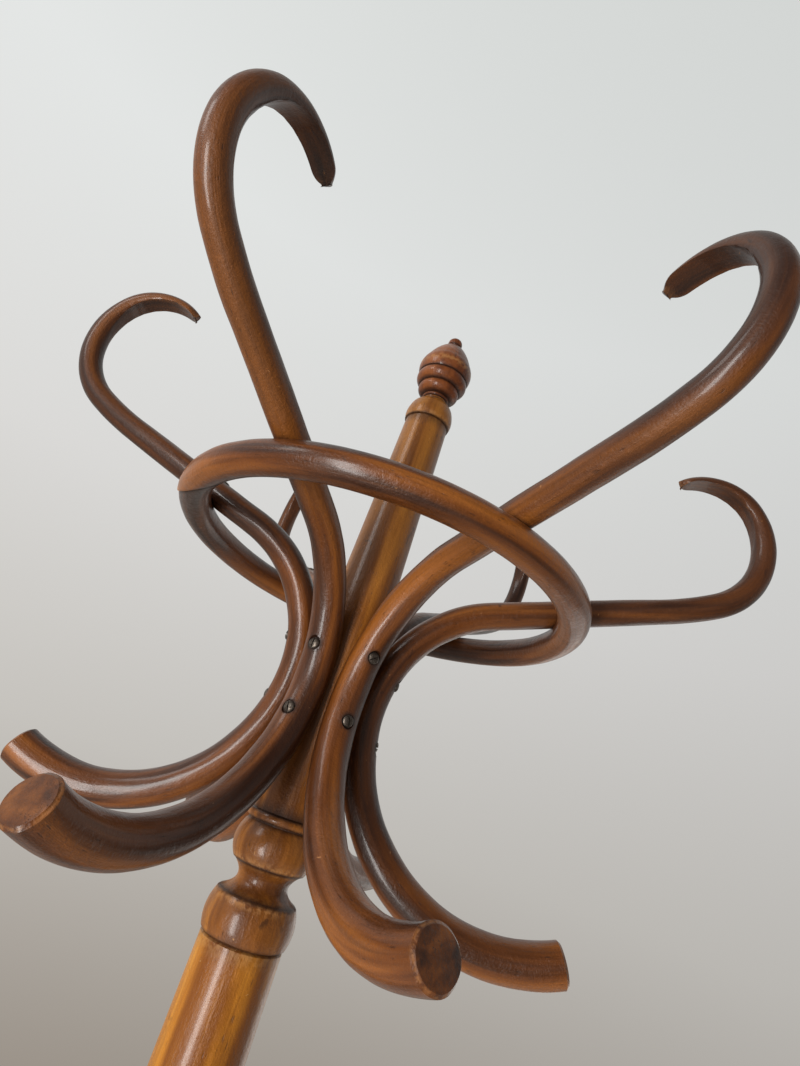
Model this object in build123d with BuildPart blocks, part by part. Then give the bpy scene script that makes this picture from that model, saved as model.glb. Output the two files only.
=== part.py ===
"""A standing coat rack in bent and turned beech.

Six bent arms are screwed round the waist of a turned shaft. Their upper ends curl over as coat
hooks, their lower ends flare out as hat pegs, and a bent ring runs under them and is screwed to
each. The shaft stands on a spigot in the top of the lower post, so that the head turns. Four bent
legs are screwed round the foot of the lower post and carry a second ring for umbrellas.

The frame: millimetres, +Z up along the post, z = 0 on the floor, the post's axis through x = y = 0.
"""

import os
from math import cos, radians, sin

from build123d import *

# ---- heights on the post -------------------------------------------------------------------
WAIST_Z = 1590.0            # where the arms touch the head shaft
SEAM_Z = WAIST_Z - 157.0    # the lower post's top, where the head shaft stands on it
COLLAR_Z = WAIST_Z + 241.0  # the groove under the shaft's collar
NECK_Z = WAIST_Z + 267.0    # the shaft's top, where the finial stands
FINIAL_TOP_Z = WAIST_Z + 339.0
POST_FOOT_Z = 262.0         # the lower post's bottom end
DROP_LENGTH = 62.0          # the turned drop below it

# ---- turned radii --------------------------------------------------------------------------
POST_TOP_R = 26.8
POST_BELLY_R = 28.8         # just above the band over the legs
POST_FOOT_R = 26.5          # where the legs are screwed on
BAND_Z = 640.0              # the turned band over the legs
SHAFT_FOOT_Z = WAIST_Z - 83.0   # above its bulbs
SHAFT_WAIST_R = 23.2        # from there up, and where the arms bear on it
SHAFT_TAPER_Z = WAIST_Z + 45.0  # where it starts to taper
SHAFT_HIGH_R = 18.5         # under its collar
BULB_R = 29.6
COVE_R = 17.2
COLLAR_R = 20.4
NECK_R = 10.5

# ---- fits ----------------------------------------------------------------------------------
SPIGOT_R = 12.0             # the shaft's spigot, which turns in the lower post
SPIGOT_LENGTH = 55.0
SPIGOT_CLEARANCE = 0.05
DOWEL_R = 5.0               # on the finial and on the drop
DOWEL_LENGTH = 20.0
GLUE_GAP = 0.05
END_GAP = 2.0               # under a spigot's or a dowel's end
WOOD_GAP = 0.15             # round the seats that are cut into bent rods

# ---- bent arms: runs of (length, turn in degrees) from the waist up and from it down --------
ARM_WAIST_R = 30.5          # from the post's axis to the rod's centre line
ARM_UP = ((128.0, 71.0), (133.0, 0.0), (40.0, -10.0), (101.0, -95.0), (65.0, -95.0))
ARM_DOWN = ((230.0, 114.0),)
ARM_ROD_R = 12.0            # at the waist
ARM_TAPER = -0.0073         # change of radius for each millimetre up the rod
ROD_OVAL = 0.97             # thickness over width, of arms and legs
HOOK_FLAT = 0.80            # thickness over width at the tip of the hook
HOOK_FLAT_LENGTH = 90.0     # the length that is flattened
TIP_FILLET = 5.0
PEG_BEVEL = 2.0

# each arm as it was fitted: azimuth, lean outwards and lean sideways in degrees, and lift
ARM_FITTING = (
    (175.0, -0.5, 4.0, 7.0),
    (239.5, -3.5, -0.5, 0.0),
    (295.0, -0.5, 3.5, 4.0),
    (351.0, -0.5, 1.5, -4.0),
    (57.0, -2.0, -4.5, -6.0),
    (114.5, 0.0, 0.5, -1.0),
)

# ---- the head ring -------------------------------------------------------------------------
HEAD_RING_R = 150.0
HEAD_RING_ROD_R = 11.5
HEAD_RING_CENTRE = (4.0, -3.0, WAIST_Z + 97.5)
HEAD_RING_NORMAL = (sin(radians(1.0)), sin(radians(2.5)), 1.0)
HEAD_RING_SCARF = 205.0     # the azimuth of the glued scarf joint that closes the ring
HEAD_RING_REACH = (140.0, 240.0)  # the stretch of an arm on which it crosses the ring
CROSSING_STEP = 1.0         # between the places that are tried on it

# ---- bent legs, as the arms; the last run goes on through the floor, where it is cut --------
LEG_COUNT = 4
LEG_WAIST_Z = 455.0
LEG_WAIST_R = 38.0
LEG_UP = ((60.0, 0.0), (90.0, 17.0))
LEG_DOWN = ((85.0, 0.0), (200.0, 68.0), (68.0, 0.0), (120.0, -58.0), (130.0, 0.0))
LEG_ROD_R = 13.8
LEG_TAPER = -0.0025
GLIDE_R = 10.0
GLIDE_THICKNESS = 3.0
GLIDE_CHAMFER = 0.6
UNDER_FLOOR = (800.0, 800.0, 200.0)  # the block that cuts the legs off, wider than their spread

# ---- the umbrella ring ---------------------------------------------------------------------
BASE_RING_SEAT = 322.0      # down the leg from its waist
BASE_RING_ROD_R = 11.5
BASE_RING_LET_IN = 2.5      # how deep the ring is let into the legs
BASE_RING_SCARF = 45.0
SCARF_SLANT = 20.0          # between a scarf joint and the rod, in degrees
GLUE_LINE = 0.1
SCARF_CUT = (115.0, 46.0)    # length and height of the slanting cut, more than the rod takes up

# ---- round-headed wood screws --------------------------------------------------------------
HEAD_R = 4.0
HEAD_EDGE = 0.8
HEAD_DOME = 1.8
SHOULDER_R = 2.48           # a point on the dome between its edge and its crest
SHOULDER_DROP = 0.55        # below the crest
SLOT_WIDTH = 1.0
SLOT_DEPTH = 1.3
SLOT_CUT_LENGTH = 12.0      # right across the head
SHANK_R = 2.1
POINT_R = 0.84              # the blunt end of the shank
POINT_LENGTH = 5.0
SCREW_GAP = 0.05
SPOT_FACE_R = 4.6
SPOT_FACE_DEPTH = 1.4       # below the rod's crest
SPOT_FACE_REACH = 3.0       # how far its cut goes on past the head's crest
SCREW_BITE = 13.0           # the shank's length in the piece behind
ARM_SCREW_HEIGHTS = (25.0, -20.0)
LEG_SCREW_HEIGHTS = (38.0, -52.0)
RING_SCREW_BITE = 6.0       # past the ring rod's centre line

STATION_SPACING = 20.0      # between the sections of a bent rod


def rod_station(up, down, distance):
    """The place (out, height) and heading (out, height) at a signed distance from a rod's waist."""
    runs = up if distance >= 0 else down
    left = abs(distance)
    out, height, heading = 0.0, 0.0, 0.0
    for length, turn in runs:
        run = min(left, length)
        bend = radians(turn) * run / length
        if turn:
            radius = length / radians(turn)
            out += radius * (cos(heading) - cos(heading + bend))
            height += radius * (sin(heading + bend) - sin(heading))
        else:
            out += run * sin(heading)
            height += run * cos(heading)
        heading += bend
        left -= run
        if left <= 0:
            break
    if distance >= 0:
        return (out, height), (sin(heading), cos(heading))
    return (out, -height), (-sin(heading), cos(heading))


def rod_length(runs):
    """The length of a list of runs."""
    return sum(length for length, _ in runs)


def spaced(start, end, spacing):
    """Distances from start to end, evenly spaced."""
    steps = max(1, round((end - start) / spacing))
    return [start + (end - start) * step / steps for step in range(steps + 1)]


def rod_plane(up, down, distance):
    """The plane across a rod, with its first direction square to the rod's own plane."""
    (out, height), (toward, rise) = rod_station(up, down, distance)
    return Plane(origin=(out, 0, height), x_dir=(0, 1, 0), z_dir=(toward, 0, rise))


def screw_hole(seat, length):
    """A shank's hole and the spot face for its head, down from the plane of the seat."""
    with BuildPart(seat, mode=Mode.PRIVATE) as hole:
        Cylinder(SHANK_R + SCREW_GAP, length + SCREW_GAP, align=(Align.CENTER, Align.CENTER, Align.MAX))
        Cylinder(SPOT_FACE_R, HEAD_EDGE + HEAD_DOME + SPOT_FACE_REACH,
                 align=(Align.CENTER, Align.CENTER, Align.MIN))
    return hole.part


def screw(seat, length):
    """A slotted round-headed screw with the underside of its head on the plane of the seat."""
    dome_z = HEAD_EDGE + HEAD_DOME
    with BuildPart(mode=Mode.PRIVATE) as body:
        with BuildSketch(Plane.XZ):
            with BuildLine():
                Polyline((0, -length), (POINT_R, -length), (SHANK_R, -length + POINT_LENGTH),
                         (SHANK_R, 0), (HEAD_R, 0), (HEAD_R, HEAD_EDGE))
                Spline((HEAD_R, HEAD_EDGE), (SHOULDER_R, dome_z - SHOULDER_DROP), (0, dome_z))
                Line((0, dome_z), (0, -length))
            make_face()
        revolve(axis=Axis.Z)
        with Locations((0, 0, dome_z)):
            Box(SLOT_WIDTH, SLOT_CUT_LENGTH, 2 * SLOT_DEPTH, mode=Mode.SUBTRACT)
    return body.part.moved(seat.location)


def turned(label, outline):
    """A turned piece from its closed outline of corners and (middle, end) pairs of swelling curves."""
    with BuildPart() as piece:
        with BuildSketch(Plane.XZ):
            with BuildLine():
                at = outline[0]
                for step in outline[1:] + outline[:1]:
                    if isinstance(step[0], tuple):
                        Spline(at, step[0], step[1])
                        at = step[1]
                    else:
                        Line(at, step)
                        at = step
            make_face()
        revolve(axis=Axis.Z)
    piece.part.label = label
    return piece


def lower_post():
    """The straight lower post, with the socket for the head in its top and for the drop below."""
    socket_r = SPIGOT_R + SPIGOT_CLEARANCE
    socket_floor = SEAM_Z - SPIGOT_LENGTH - END_GAP
    dowel_r = DOWEL_R + GLUE_GAP
    dowel_roof = POST_FOOT_Z + DOWEL_LENGTH + END_GAP
    return turned("lower_post", [
        (0, dowel_roof), (dowel_r, dowel_roof), (dowel_r, POST_FOOT_Z),
        (POST_FOOT_R - 2, POST_FOOT_Z), (POST_FOOT_R, POST_FOOT_Z + 3),
        (POST_FOOT_R, BAND_Z), (POST_FOOT_R - 1.2, BAND_Z + 1),
        ((POST_FOOT_R + 4.6, BAND_Z + 10), (POST_FOOT_R - 0.5, BAND_Z + 19)),
        (POST_FOOT_R - 1.5, BAND_Z + 20),
        ((POST_FOOT_R - 5.5, BAND_Z + 27), (POST_FOOT_R - 0.5, BAND_Z + 35)),
        (POST_BELLY_R, BAND_Z + 36), (POST_BELLY_R, BAND_Z + 42),
        (POST_BELLY_R - 1, BAND_Z + 43), (POST_BELLY_R, BAND_Z + 44),
        (POST_TOP_R, SEAM_Z - 0.6), (POST_TOP_R - 0.6, SEAM_Z),
        (socket_r, SEAM_Z), (socket_r, socket_floor), (0, socket_floor),
    ])


def head_shaft():
    """The turned shaft: spigot, two bulbs with a cove between them, tapered shaft and collar."""
    w = WAIST_Z
    dowel_r = DOWEL_R + GLUE_GAP
    dowel_floor = NECK_Z - DOWEL_LENGTH - END_GAP
    return turned("head_shaft", [
        (0, SEAM_Z - SPIGOT_LENGTH), (SPIGOT_R - 1.5, SEAM_Z - SPIGOT_LENGTH),
        (SPIGOT_R, SEAM_Z - SPIGOT_LENGTH + 1.5), (SPIGOT_R, SEAM_Z),
        (27.4, SEAM_Z), (27.8, SEAM_Z + 0.6),
        ((BULB_R, w - 147.5), (26.6, w - 133.0)),
        (25.4, w - 132.0),
        ((COVE_R, w - 124.0), (22.8, w - 114.8)),
        (24.2, w - 114.2),
        ((28.1, w - 103.0), (24.6, w - 91.0)),
        (23.7, w - 90.0), (23.7, w - 89.2), (24.8, w - 88.6),
        ((25.7, w - 86.2), (24.8, w - 83.8)),
        (SHAFT_WAIST_R, SHAFT_FOOT_Z), (SHAFT_WAIST_R, SHAFT_TAPER_Z), (SHAFT_HIGH_R, COLLAR_Z - 0.8),
        (SHAFT_HIGH_R - 0.4, COLLAR_Z), (SHAFT_HIGH_R + 1.1, COLLAR_Z + 0.6),
        ((COLLAR_R, COLLAR_Z + 5.0), (19.3, COLLAR_Z + 13.0)),
        ((16.6, COLLAR_Z + 19.0), (NECK_R, COLLAR_Z + 23.5)),
        (NECK_R, NECK_Z), (dowel_r, NECK_Z), (dowel_r, dowel_floor), (0, dowel_floor),
    ])


def finial():
    """The finial: a beehive of three rings under a pointed cap, on a dowel."""
    w = WAIST_Z
    return turned("finial", [
        (0, NECK_Z - DOWEL_LENGTH), (DOWEL_R, NECK_Z - DOWEL_LENGTH), (DOWEL_R, NECK_Z),
        (NECK_R - 0.4, NECK_Z),
        ((NECK_R + 1.4, w + 268.6), (NECK_R + 1.2, w + 270.0)),
        (NECK_R + 0.9, w + 270.4), (NECK_R + 2.4, w + 270.8),
        ((17.8, w + 275.0), (17.5, w + 280.2)),
        (17.0, w + 280.6), (18.3, w + 281.0),
        ((22.4, w + 286.0), (21.9, w + 291.2)),
        (21.3, w + 291.6), (22.3, w + 292.0),
        ((23.8, w + 299.0), (20.8, w + 309.0)),
        ((14.2, w + 321.0), (6.4, w + 329.5)),
        (5.6, w + 330.3), (6.4, w + 331.2),
        ((5.4, w + 336.6), (0, FINIAL_TOP_Z)),
    ])


def post_drop():
    """The turned drop under the lower post, on a dowel."""
    top = POST_FOOT_Z
    return turned("post_drop", [
        (0, top + DOWEL_LENGTH), (DOWEL_R, top + DOWEL_LENGTH), (DOWEL_R, top),
        (20.0, top), ((23.0, top - 4), (20.0, top - 8)),
        (18.6, top - 9), ((13.0, top - 14), (15.5, top - 20)),
        (17.0, top - 21), ((24.0, top - 36), (13.0, top - 52)),
        (6.4, top - 55), ((5.4, top - 60), (0, top - DROP_LENGTH)),
    ])


def arm_section(distance):
    """Half the width and half the thickness of an arm at a distance from its waist."""
    width = ARM_ROD_R + ARM_TAPER * distance
    flat = max(0.0, 1 - (rod_length(ARM_UP) - distance) / HOOK_FLAT_LENGTH)
    return width, width * (ROD_OVAL + (HOOK_FLAT - ROD_OVAL) * flat)


def arm_blank():
    """One arm as it leaves its bending form: waist at the origin, bent out along +X."""
    with BuildPart() as blank:
        for distance in spaced(-rod_length(ARM_DOWN), rod_length(ARM_UP), STATION_SPACING):
            with BuildSketch(rod_plane(ARM_UP, ARM_DOWN, distance)):
                Ellipse(*arm_section(distance))
        loft()
        ends = blank.faces().filter_by(GeomType.PLANE).sort_by(Axis.Z)
        chamfer(ends[0].edges(), PEG_BEVEL)
        fillet(ends[-1].edges(), TIP_FILLET)
    return blank.part


def leg_blank():
    """One leg as it leaves its bending form, still running on through the floor."""
    stations = spaced(-rod_length(LEG_DOWN), rod_length(LEG_UP), STATION_SPACING)
    with BuildPart() as blank:
        for distance in stations:
            width = LEG_ROD_R + LEG_TAPER * distance
            with BuildSketch(rod_plane(LEG_UP, LEG_DOWN, distance)):
                Ellipse(width, width * ROD_OVAL)
        loft()
        top_edge = blank.edges().sort_by(Axis.Z)[-1]
        chamfer(top_edge, PEG_BEVEL)
    return blank.part


def arm_placement(azimuth, lean_out, lean_side, lift):
    """From the arm's own frame to the rack's."""
    turn = Rotation(0, 0, azimuth)
    lean = Rotation(-lean_side, 0, 0) * Rotation(0, lean_out, 0)
    return turn * Pos(ARM_WAIST_R, 0, WAIST_Z + lift) * lean


def leg_placement(number):
    """From the leg's own frame to the rack's."""
    return Rotation(0, 0, 360 / LEG_COUNT * number) * Pos(LEG_WAIST_R, 0, LEG_WAIST_Z)


def waist_seats(placement, up, down, rod_r, heights):
    """The planes under the heads of the screws that go through a rod's waist into the post."""
    seats = []
    for height in heights:
        (out, level), _ = rod_station(up, down, height)
        seat = Plane(origin=(out + rod_r * ROD_OVAL - SPOT_FACE_DEPTH, 0, level), z_dir=(1, 0, 0))
        seats.append(Plane(placement * seat.location))
    return seats


def ring_space(centre, normal, ring_r, rod_r):
    """The space that a ring of round rod fills."""
    with BuildPart(Plane(origin=centre, z_dir=normal), mode=Mode.PRIVATE) as ring:
        Torus(ring_r, rod_r)
    return ring.part


def bent_ring(centre, normal, ring_r, rod_r, scarf):
    """A rod bent round into a ring, its ends glued in a scarf joint at an azimuth."""
    toward = (cos(radians(scarf)), sin(radians(scarf)), 0)
    plane = Plane(origin=centre, x_dir=toward, z_dir=normal)
    with BuildPart(plane, mode=Mode.PRIVATE) as ring:
        Torus(ring_r, rod_r)
        with Locations(Location((ring_r, 0, 0), (0, 0, SCARF_SLANT))):
            Box(GLUE_LINE, *SCARF_CUT, mode=Mode.SUBTRACT)
    return ring.part


def ring_point(centre, normal, ring_r, point):
    """The point of a ring's centre line that is nearest to another point."""
    axis = Vector(*normal).normalized()
    arm = point - Vector(*centre)
    flat = arm - axis * arm.dot(axis)
    return Vector(*centre) + flat.normalized() * ring_r


def head_ring_crossing(placement):
    """Where an arm passes over the head ring: the distance up the arm, and both centre points."""
    best = None
    for distance in spaced(*HEAD_RING_REACH, CROSSING_STEP):
        (out, height), _ = rod_station(ARM_UP, ARM_DOWN, distance)
        on_arm = (placement * Pos(out, 0, height)).position
        on_ring = ring_point(HEAD_RING_CENTRE, HEAD_RING_NORMAL, HEAD_RING_R, on_arm)
        gap = (on_ring - on_arm).length
        if best is None or gap < best[0]:
            best = (gap, distance, on_arm, on_ring)
    return best[1:]


def ring_screw(on_rod, on_ring, rod_r):
    """The seat and the length of a screw that goes through a rod into the ring behind it."""
    toward = (on_ring - on_rod).normalized()
    crest = rod_r - SPOT_FACE_DEPTH
    seat = Plane(origin=on_rod - toward * crest, z_dir=toward * -1)
    return seat, crest + (on_ring - on_rod).length + RING_SCREW_BITE


def umbrella_ring_line():
    """The umbrella ring's radius and centre, and the points on the leg and ring lines that meet."""
    (out, height), (toward, rise) = rod_station(LEG_UP, LEG_DOWN, -BASE_RING_SEAT)
    leg_r = (LEG_ROD_R - LEG_TAPER * BASE_RING_SEAT) * ROD_OVAL
    gap = leg_r + BASE_RING_ROD_R - BASE_RING_LET_IN
    on_leg = Vector(LEG_WAIST_R + out, 0, LEG_WAIST_Z + height)
    on_ring = on_leg + Vector(rise, 0, -toward) * gap
    return on_ring.X, (0, 0, on_ring.Z), on_leg, on_ring


def drilled(blank, label, cutters):
    """A piece with holes and seats cut in it."""
    with BuildPart() as piece:
        add(blank)
        for cutter in cutters:
            add(cutter, mode=Mode.SUBTRACT)
    piece.part.label = label
    return piece


def group(label, pieces):
    """One node that holds several separate solids."""
    with BuildPart() as node:
        for piece in pieces:
            add(piece)
    node.part.label = label
    return node


def round_seat(radius, low, high):
    """The space that a round post fills between two heights, with the gap that wood needs."""
    with BuildPart(Plane.XY.offset(low), mode=Mode.PRIVATE) as seat:
        Cylinder(radius + WOOD_GAP, high - low, align=(Align.CENTER, Align.CENTER, Align.MIN))
    return seat.part


def head():
    """The head's bent arms, their ring and screws, and the shaft that they are screwed to."""
    crest = ARM_ROD_R * ROD_OVAL - SPOT_FACE_DEPTH
    shank = crest + ARM_WAIST_R - SHAFT_WAIST_R + SCREW_BITE
    form = arm_blank()
    ring_line = (HEAD_RING_CENTRE, HEAD_RING_NORMAL, HEAD_RING_R)
    shaft_seat = round_seat(SHAFT_WAIST_R, SHAFT_FOOT_Z, COLLAR_Z)
    ring_seat = ring_space(*ring_line, HEAD_RING_ROD_R + WOOD_GAP)
    arms, shaft_holes, ring_holes, arm_screws, ring_screws = [], [], [], [], []
    for number, fitting in enumerate(ARM_FITTING, start=1):
        placement = arm_placement(*fitting)
        seats = waist_seats(placement, ARM_UP, ARM_DOWN, ARM_ROD_R, ARM_SCREW_HEIGHTS)
        distance, on_arm, on_ring = head_ring_crossing(placement)
        rod_r = arm_section(distance)[1]
        top_seat, top_shank = ring_screw(on_arm, on_ring, rod_r)
        holes = [screw_hole(seat, shank) for seat in seats]
        top_hole = screw_hole(top_seat, top_shank)
        cutters = [shaft_seat, ring_seat, top_hole] + holes
        arms.append(drilled(form.moved(placement), f"arm_{number}", cutters))
        shaft_holes += holes
        ring_holes.append(top_hole)
        arm_screws += [screw(seat, shank) for seat in seats]
        ring_screws.append(screw(top_seat, top_shank))
    return arms + [
        drilled(head_shaft().part, "head_shaft", shaft_holes),
        drilled(bent_ring(*ring_line, HEAD_RING_ROD_R, HEAD_RING_SCARF), "head_ring", ring_holes),
        group("arm_screws", arm_screws),
        group("head_ring_screws", ring_screws),
        finial(),
    ]


def glide(placement):
    """The glide under a leg, flat on the floor."""
    (out, _), _ = rod_station(LEG_UP, LEG_DOWN, -foot_distance())
    foot = (placement * Pos(out, 0, 0)).position
    with BuildPart(Plane.XY, mode=Mode.PRIVATE) as disc:
        with Locations((foot.X, foot.Y, 0)):
            Cylinder(GLIDE_R, GLIDE_THICKNESS, align=(Align.CENTER, Align.CENTER, Align.MIN))
        chamfer(disc.edges().group_by(Axis.Z)[0], GLIDE_CHAMFER)
    return disc.part


def foot_distance():
    """How far down a leg's centre line from its waist it is cut off, above its glide."""
    (_, end_height), (_, rise) = rod_station(LEG_UP, LEG_DOWN, -rod_length(LEG_DOWN))
    overrun = GLIDE_THICKNESS - (LEG_WAIST_Z + end_height)
    return rod_length(LEG_DOWN) - overrun / rise


def base():
    """The lower post with its drop, the bent legs, the umbrella ring, their screws and glides."""
    crest = LEG_ROD_R * ROD_OVAL - SPOT_FACE_DEPTH
    shank = crest + LEG_WAIST_R - POST_FOOT_R + SCREW_BITE
    form = leg_blank()
    ring_r, ring_centre, on_leg, on_ring = umbrella_ring_line()
    ring_line = (ring_centre, (0, 0, 1), ring_r)
    post_seat = round_seat(POST_FOOT_R, POST_FOOT_Z, BAND_Z)
    ring_seat = ring_space(*ring_line, BASE_RING_ROD_R + WOOD_GAP)
    leg_r = (LEG_ROD_R - LEG_TAPER * BASE_RING_SEAT) * ROD_OVAL
    low_seat, low_shank = ring_screw(on_leg, on_ring, leg_r)
    with BuildPart(Plane.XY.offset(GLIDE_THICKNESS), mode=Mode.PRIVATE) as under_foot:
        Box(*UNDER_FLOOR, align=(Align.CENTER, Align.CENTER, Align.MAX))
    legs, post_holes, ring_holes, leg_screws, ring_screws, glides = [], [], [], [], [], []
    for number in range(LEG_COUNT):
        placement = leg_placement(number)
        around = Rotation(0, 0, 360 / LEG_COUNT * number)
        seats = waist_seats(placement, LEG_UP, LEG_DOWN, LEG_ROD_R, LEG_SCREW_HEIGHTS)
        holes = [screw_hole(seat, shank) for seat in seats]
        low_hole = screw_hole(low_seat, low_shank).moved(around)
        cutters = [post_seat, ring_seat, under_foot.part, low_hole] + holes
        legs.append(drilled(form.moved(placement), f"leg_{number + 1}", cutters))
        post_holes += holes
        ring_holes.append(low_hole)
        leg_screws += [screw(seat, shank) for seat in seats]
        ring_screws.append(screw(low_seat, low_shank).moved(around))
        glides.append(glide(placement))
    return legs + [
        drilled(lower_post().part, "lower_post", post_holes),
        drilled(bent_ring(*ring_line, BASE_RING_ROD_R, BASE_RING_SCARF), "umbrella_ring", ring_holes),
        group("leg_screws", leg_screws),
        group("umbrella_ring_screws", ring_screws),
        group("foot_glides", glides),
        post_drop(),
    ]


def main():
    os.makedirs("parts", exist_ok=True)
    for node in head() + base():
        export_step(node.part, f"parts/{node.part.label}.step")


main()
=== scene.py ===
"""A standing coat rack in bent and turned beech, dressed for pictures.

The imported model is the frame. Every bent rod is swept again along its own bending schedule, so
that the grain of the wood follows the bend, every turned piece is turned again from its outline,
and each piece gets a lacquered finish. Sizes are in millimetres in the classes' fields and in
metres everywhere else. The head turns on the lower post, so each piece rides on "head" or "stand".
"""

import logging
from collections.abc import Iterable, Sequence
from dataclasses import dataclass, field
from enum import Enum
from math import ceil, cos, pi, radians, sin

import bmesh
import bpy
import numpy as np
from mathutils import Matrix, Vector


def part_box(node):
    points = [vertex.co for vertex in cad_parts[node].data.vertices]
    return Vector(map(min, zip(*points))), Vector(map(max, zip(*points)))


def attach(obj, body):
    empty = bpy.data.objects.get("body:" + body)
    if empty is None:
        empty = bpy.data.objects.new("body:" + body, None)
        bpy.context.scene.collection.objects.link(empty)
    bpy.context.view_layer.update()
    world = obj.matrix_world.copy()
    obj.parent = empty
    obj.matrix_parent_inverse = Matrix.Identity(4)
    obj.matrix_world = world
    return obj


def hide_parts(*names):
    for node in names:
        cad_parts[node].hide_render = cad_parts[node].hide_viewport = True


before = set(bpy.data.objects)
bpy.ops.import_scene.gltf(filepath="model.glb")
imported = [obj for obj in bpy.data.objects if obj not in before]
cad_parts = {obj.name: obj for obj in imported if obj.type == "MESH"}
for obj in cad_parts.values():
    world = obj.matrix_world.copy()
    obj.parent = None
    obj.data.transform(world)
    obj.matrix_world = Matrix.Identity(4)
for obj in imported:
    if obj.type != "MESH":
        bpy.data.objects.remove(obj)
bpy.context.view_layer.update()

MM = 0.001

log = logging.getLogger("coat_rack")

Run = tuple[float, float]
Colour = tuple[float, float, float, float]
OutlineStep = tuple[float, float] | tuple[tuple[float, float], tuple[float, float]]


class Body(str, Enum):
    """The bodies of the frame."""

    HEAD = "head"
    STAND = "stand"


class Slot(str, Enum):
    """The material slots of the record."""

    BENT = "bent_beech"
    POST = "post_beech"
    SHAFT = "shaft_beech"
    SCREW = "screw_steel"
    GLIDE = "glide_steel"


def tint(red: int, green: int, blue: int) -> Colour:
    """A colour as the shaders want it, from its three channels as a screen shows them.

    Args:
        red: the red channel, from 0 to 255.
        green: the green channel, from 0 to 255.
        blue: the blue channel, from 0 to 255.

    Returns:
        The linear colour with full alpha.
    """
    def linear(channel: int) -> float:
        """One channel without the screen's curve."""
        share = channel / 255
        return share / 12.92 if share <= 0.04045 else ((share + 0.055) / 1.055) ** 2.4

    return linear(red), linear(green), linear(blue), 1.0


class Bench:
    """Lays out a node tree, one node at a time."""

    def __init__(self, tree: bpy.types.NodeTree) -> None:
        """Takes the tree to work on.

        Args:
            tree: a shader or a geometry node tree.
        """
        self.tree = tree

    def node(self, kind: str, inputs: dict | None = None, **settings: object) -> bpy.types.Node:
        """Adds a node.

        Args:
            kind: the node's type name.
            inputs: values or sockets, by input name or number.
            settings: the node's own properties.

        Returns:
            The new node.
        """
        node = self.tree.nodes.new(kind)
        for name, value in settings.items():
            setattr(node, name, value)
        for key, value in (inputs or {}).items():
            self.feed(node.inputs[key], value)
        return node

    def feed(self, socket: bpy.types.NodeSocket, value: object) -> None:
        """Links a socket to an input, or sets the input's value.

        Args:
            socket: the input.
            value: an output socket, or the plain value.
        """
        if isinstance(value, bpy.types.NodeSocket):
            self.tree.links.new(value, socket)
        else:
            socket.default_value = value

    def maths(self, operation: str, *values: object, clamp: bool = False) -> bpy.types.NodeSocket:
        """A sum of one, two or three values.

        Args:
            operation: the Math node's operation.
            values: numbers or sockets.
            clamp: whether the result is kept between 0 and 1.

        Returns:
            The result.
        """
        node = self.node("ShaderNodeMath", dict(enumerate(values)), operation=operation)
        node.use_clamp = clamp
        return node.outputs[0]

    def add_part(self, total: object, value: object, part: float, operation: str = "ADD",
                 clamp: bool = False) -> bpy.types.NodeSocket:
        """A total with some part of a value put to it.

        Args:
            total: the total.
            value: the value.
            part: how much of the value counts.
            operation: "ADD" or "SUBTRACT".
            clamp: whether the result is kept between 0 and 1.

        Returns:
            The new total.
        """
        return self.maths(operation, total, self.maths("MULTIPLY", value, part), clamp=clamp)

    def vector(self, operation: str, *values: object, scale: object = None) -> bpy.types.NodeSocket:
        """A sum of vectors.

        Args:
            operation: the Vector Math node's operation.
            values: vectors or sockets.
            scale: the factor of a SCALE operation.

        Returns:
            The resulting vector.
        """
        node = self.node("ShaderNodeVectorMath", dict(enumerate(values)), operation=operation)
        if scale is not None:
            self.feed(node.inputs["Scale"], scale)
        return node.outputs[0]

    def blend(self, factor: object, first: object, second: object, mode: str = "MIX") -> bpy.types.NodeSocket:
        """A mix of two colours.

        Args:
            factor: how much of the second colour there is.
            first: the first colour.
            second: the second colour.
            mode: the blend mode.

        Returns:
            The mixed colour.
        """
        node = self.node("ShaderNodeMix", data_type="RGBA", blend_type=mode)
        self.feed(node.inputs[0], factor)
        self.feed(node.inputs[6], first)
        self.feed(node.inputs[7], second)
        return node.outputs[2]

    def stain(self, colour: object, amount: object, depth: float, tone: object) -> bpy.types.NodeSocket:
        """A colour stained with a tone.

        Args:
            colour: the colour.
            amount: where the stain lies, from 0 to 1.
            depth: how strong it is where it lies.
            tone: the stain's own colour.

        Returns:
            The stained colour.
        """
        return self.blend(self.maths("MULTIPLY", amount, depth), colour, tone)

    def noise(self, place: object, scale: float, detail: float = 2.0,
              twist: float = 0.0) -> bpy.types.NodeSocket:
        """A soft noise.

        Args:
            place: the coordinates.
            scale: repeats in a metre.
            detail: octaves.
            twist: distortion.

        Returns:
            The noise, from 0 to 1.
        """
        node = self.node("ShaderNodeTexNoise", {"Vector": place, "Scale": scale, "Detail": detail,
                                                "Distortion": twist})
        return node.outputs[0]

    def ramp(self, value: object, low: float, high: float) -> bpy.types.NodeSocket:
        """A smooth step from 0 at low to 1 at high.

        Args:
            value: what is stepped.
            low: where the step starts.
            high: where it ends.

        Returns:
            The stepped value.
        """
        node = self.node("ShaderNodeMapRange", {"Value": value, "From Min": low, "From Max": high},
                         interpolation_type="SMOOTHSTEP")
        return node.outputs[0]


# ---- finishes ------------------------------------------------------------------------------


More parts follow.
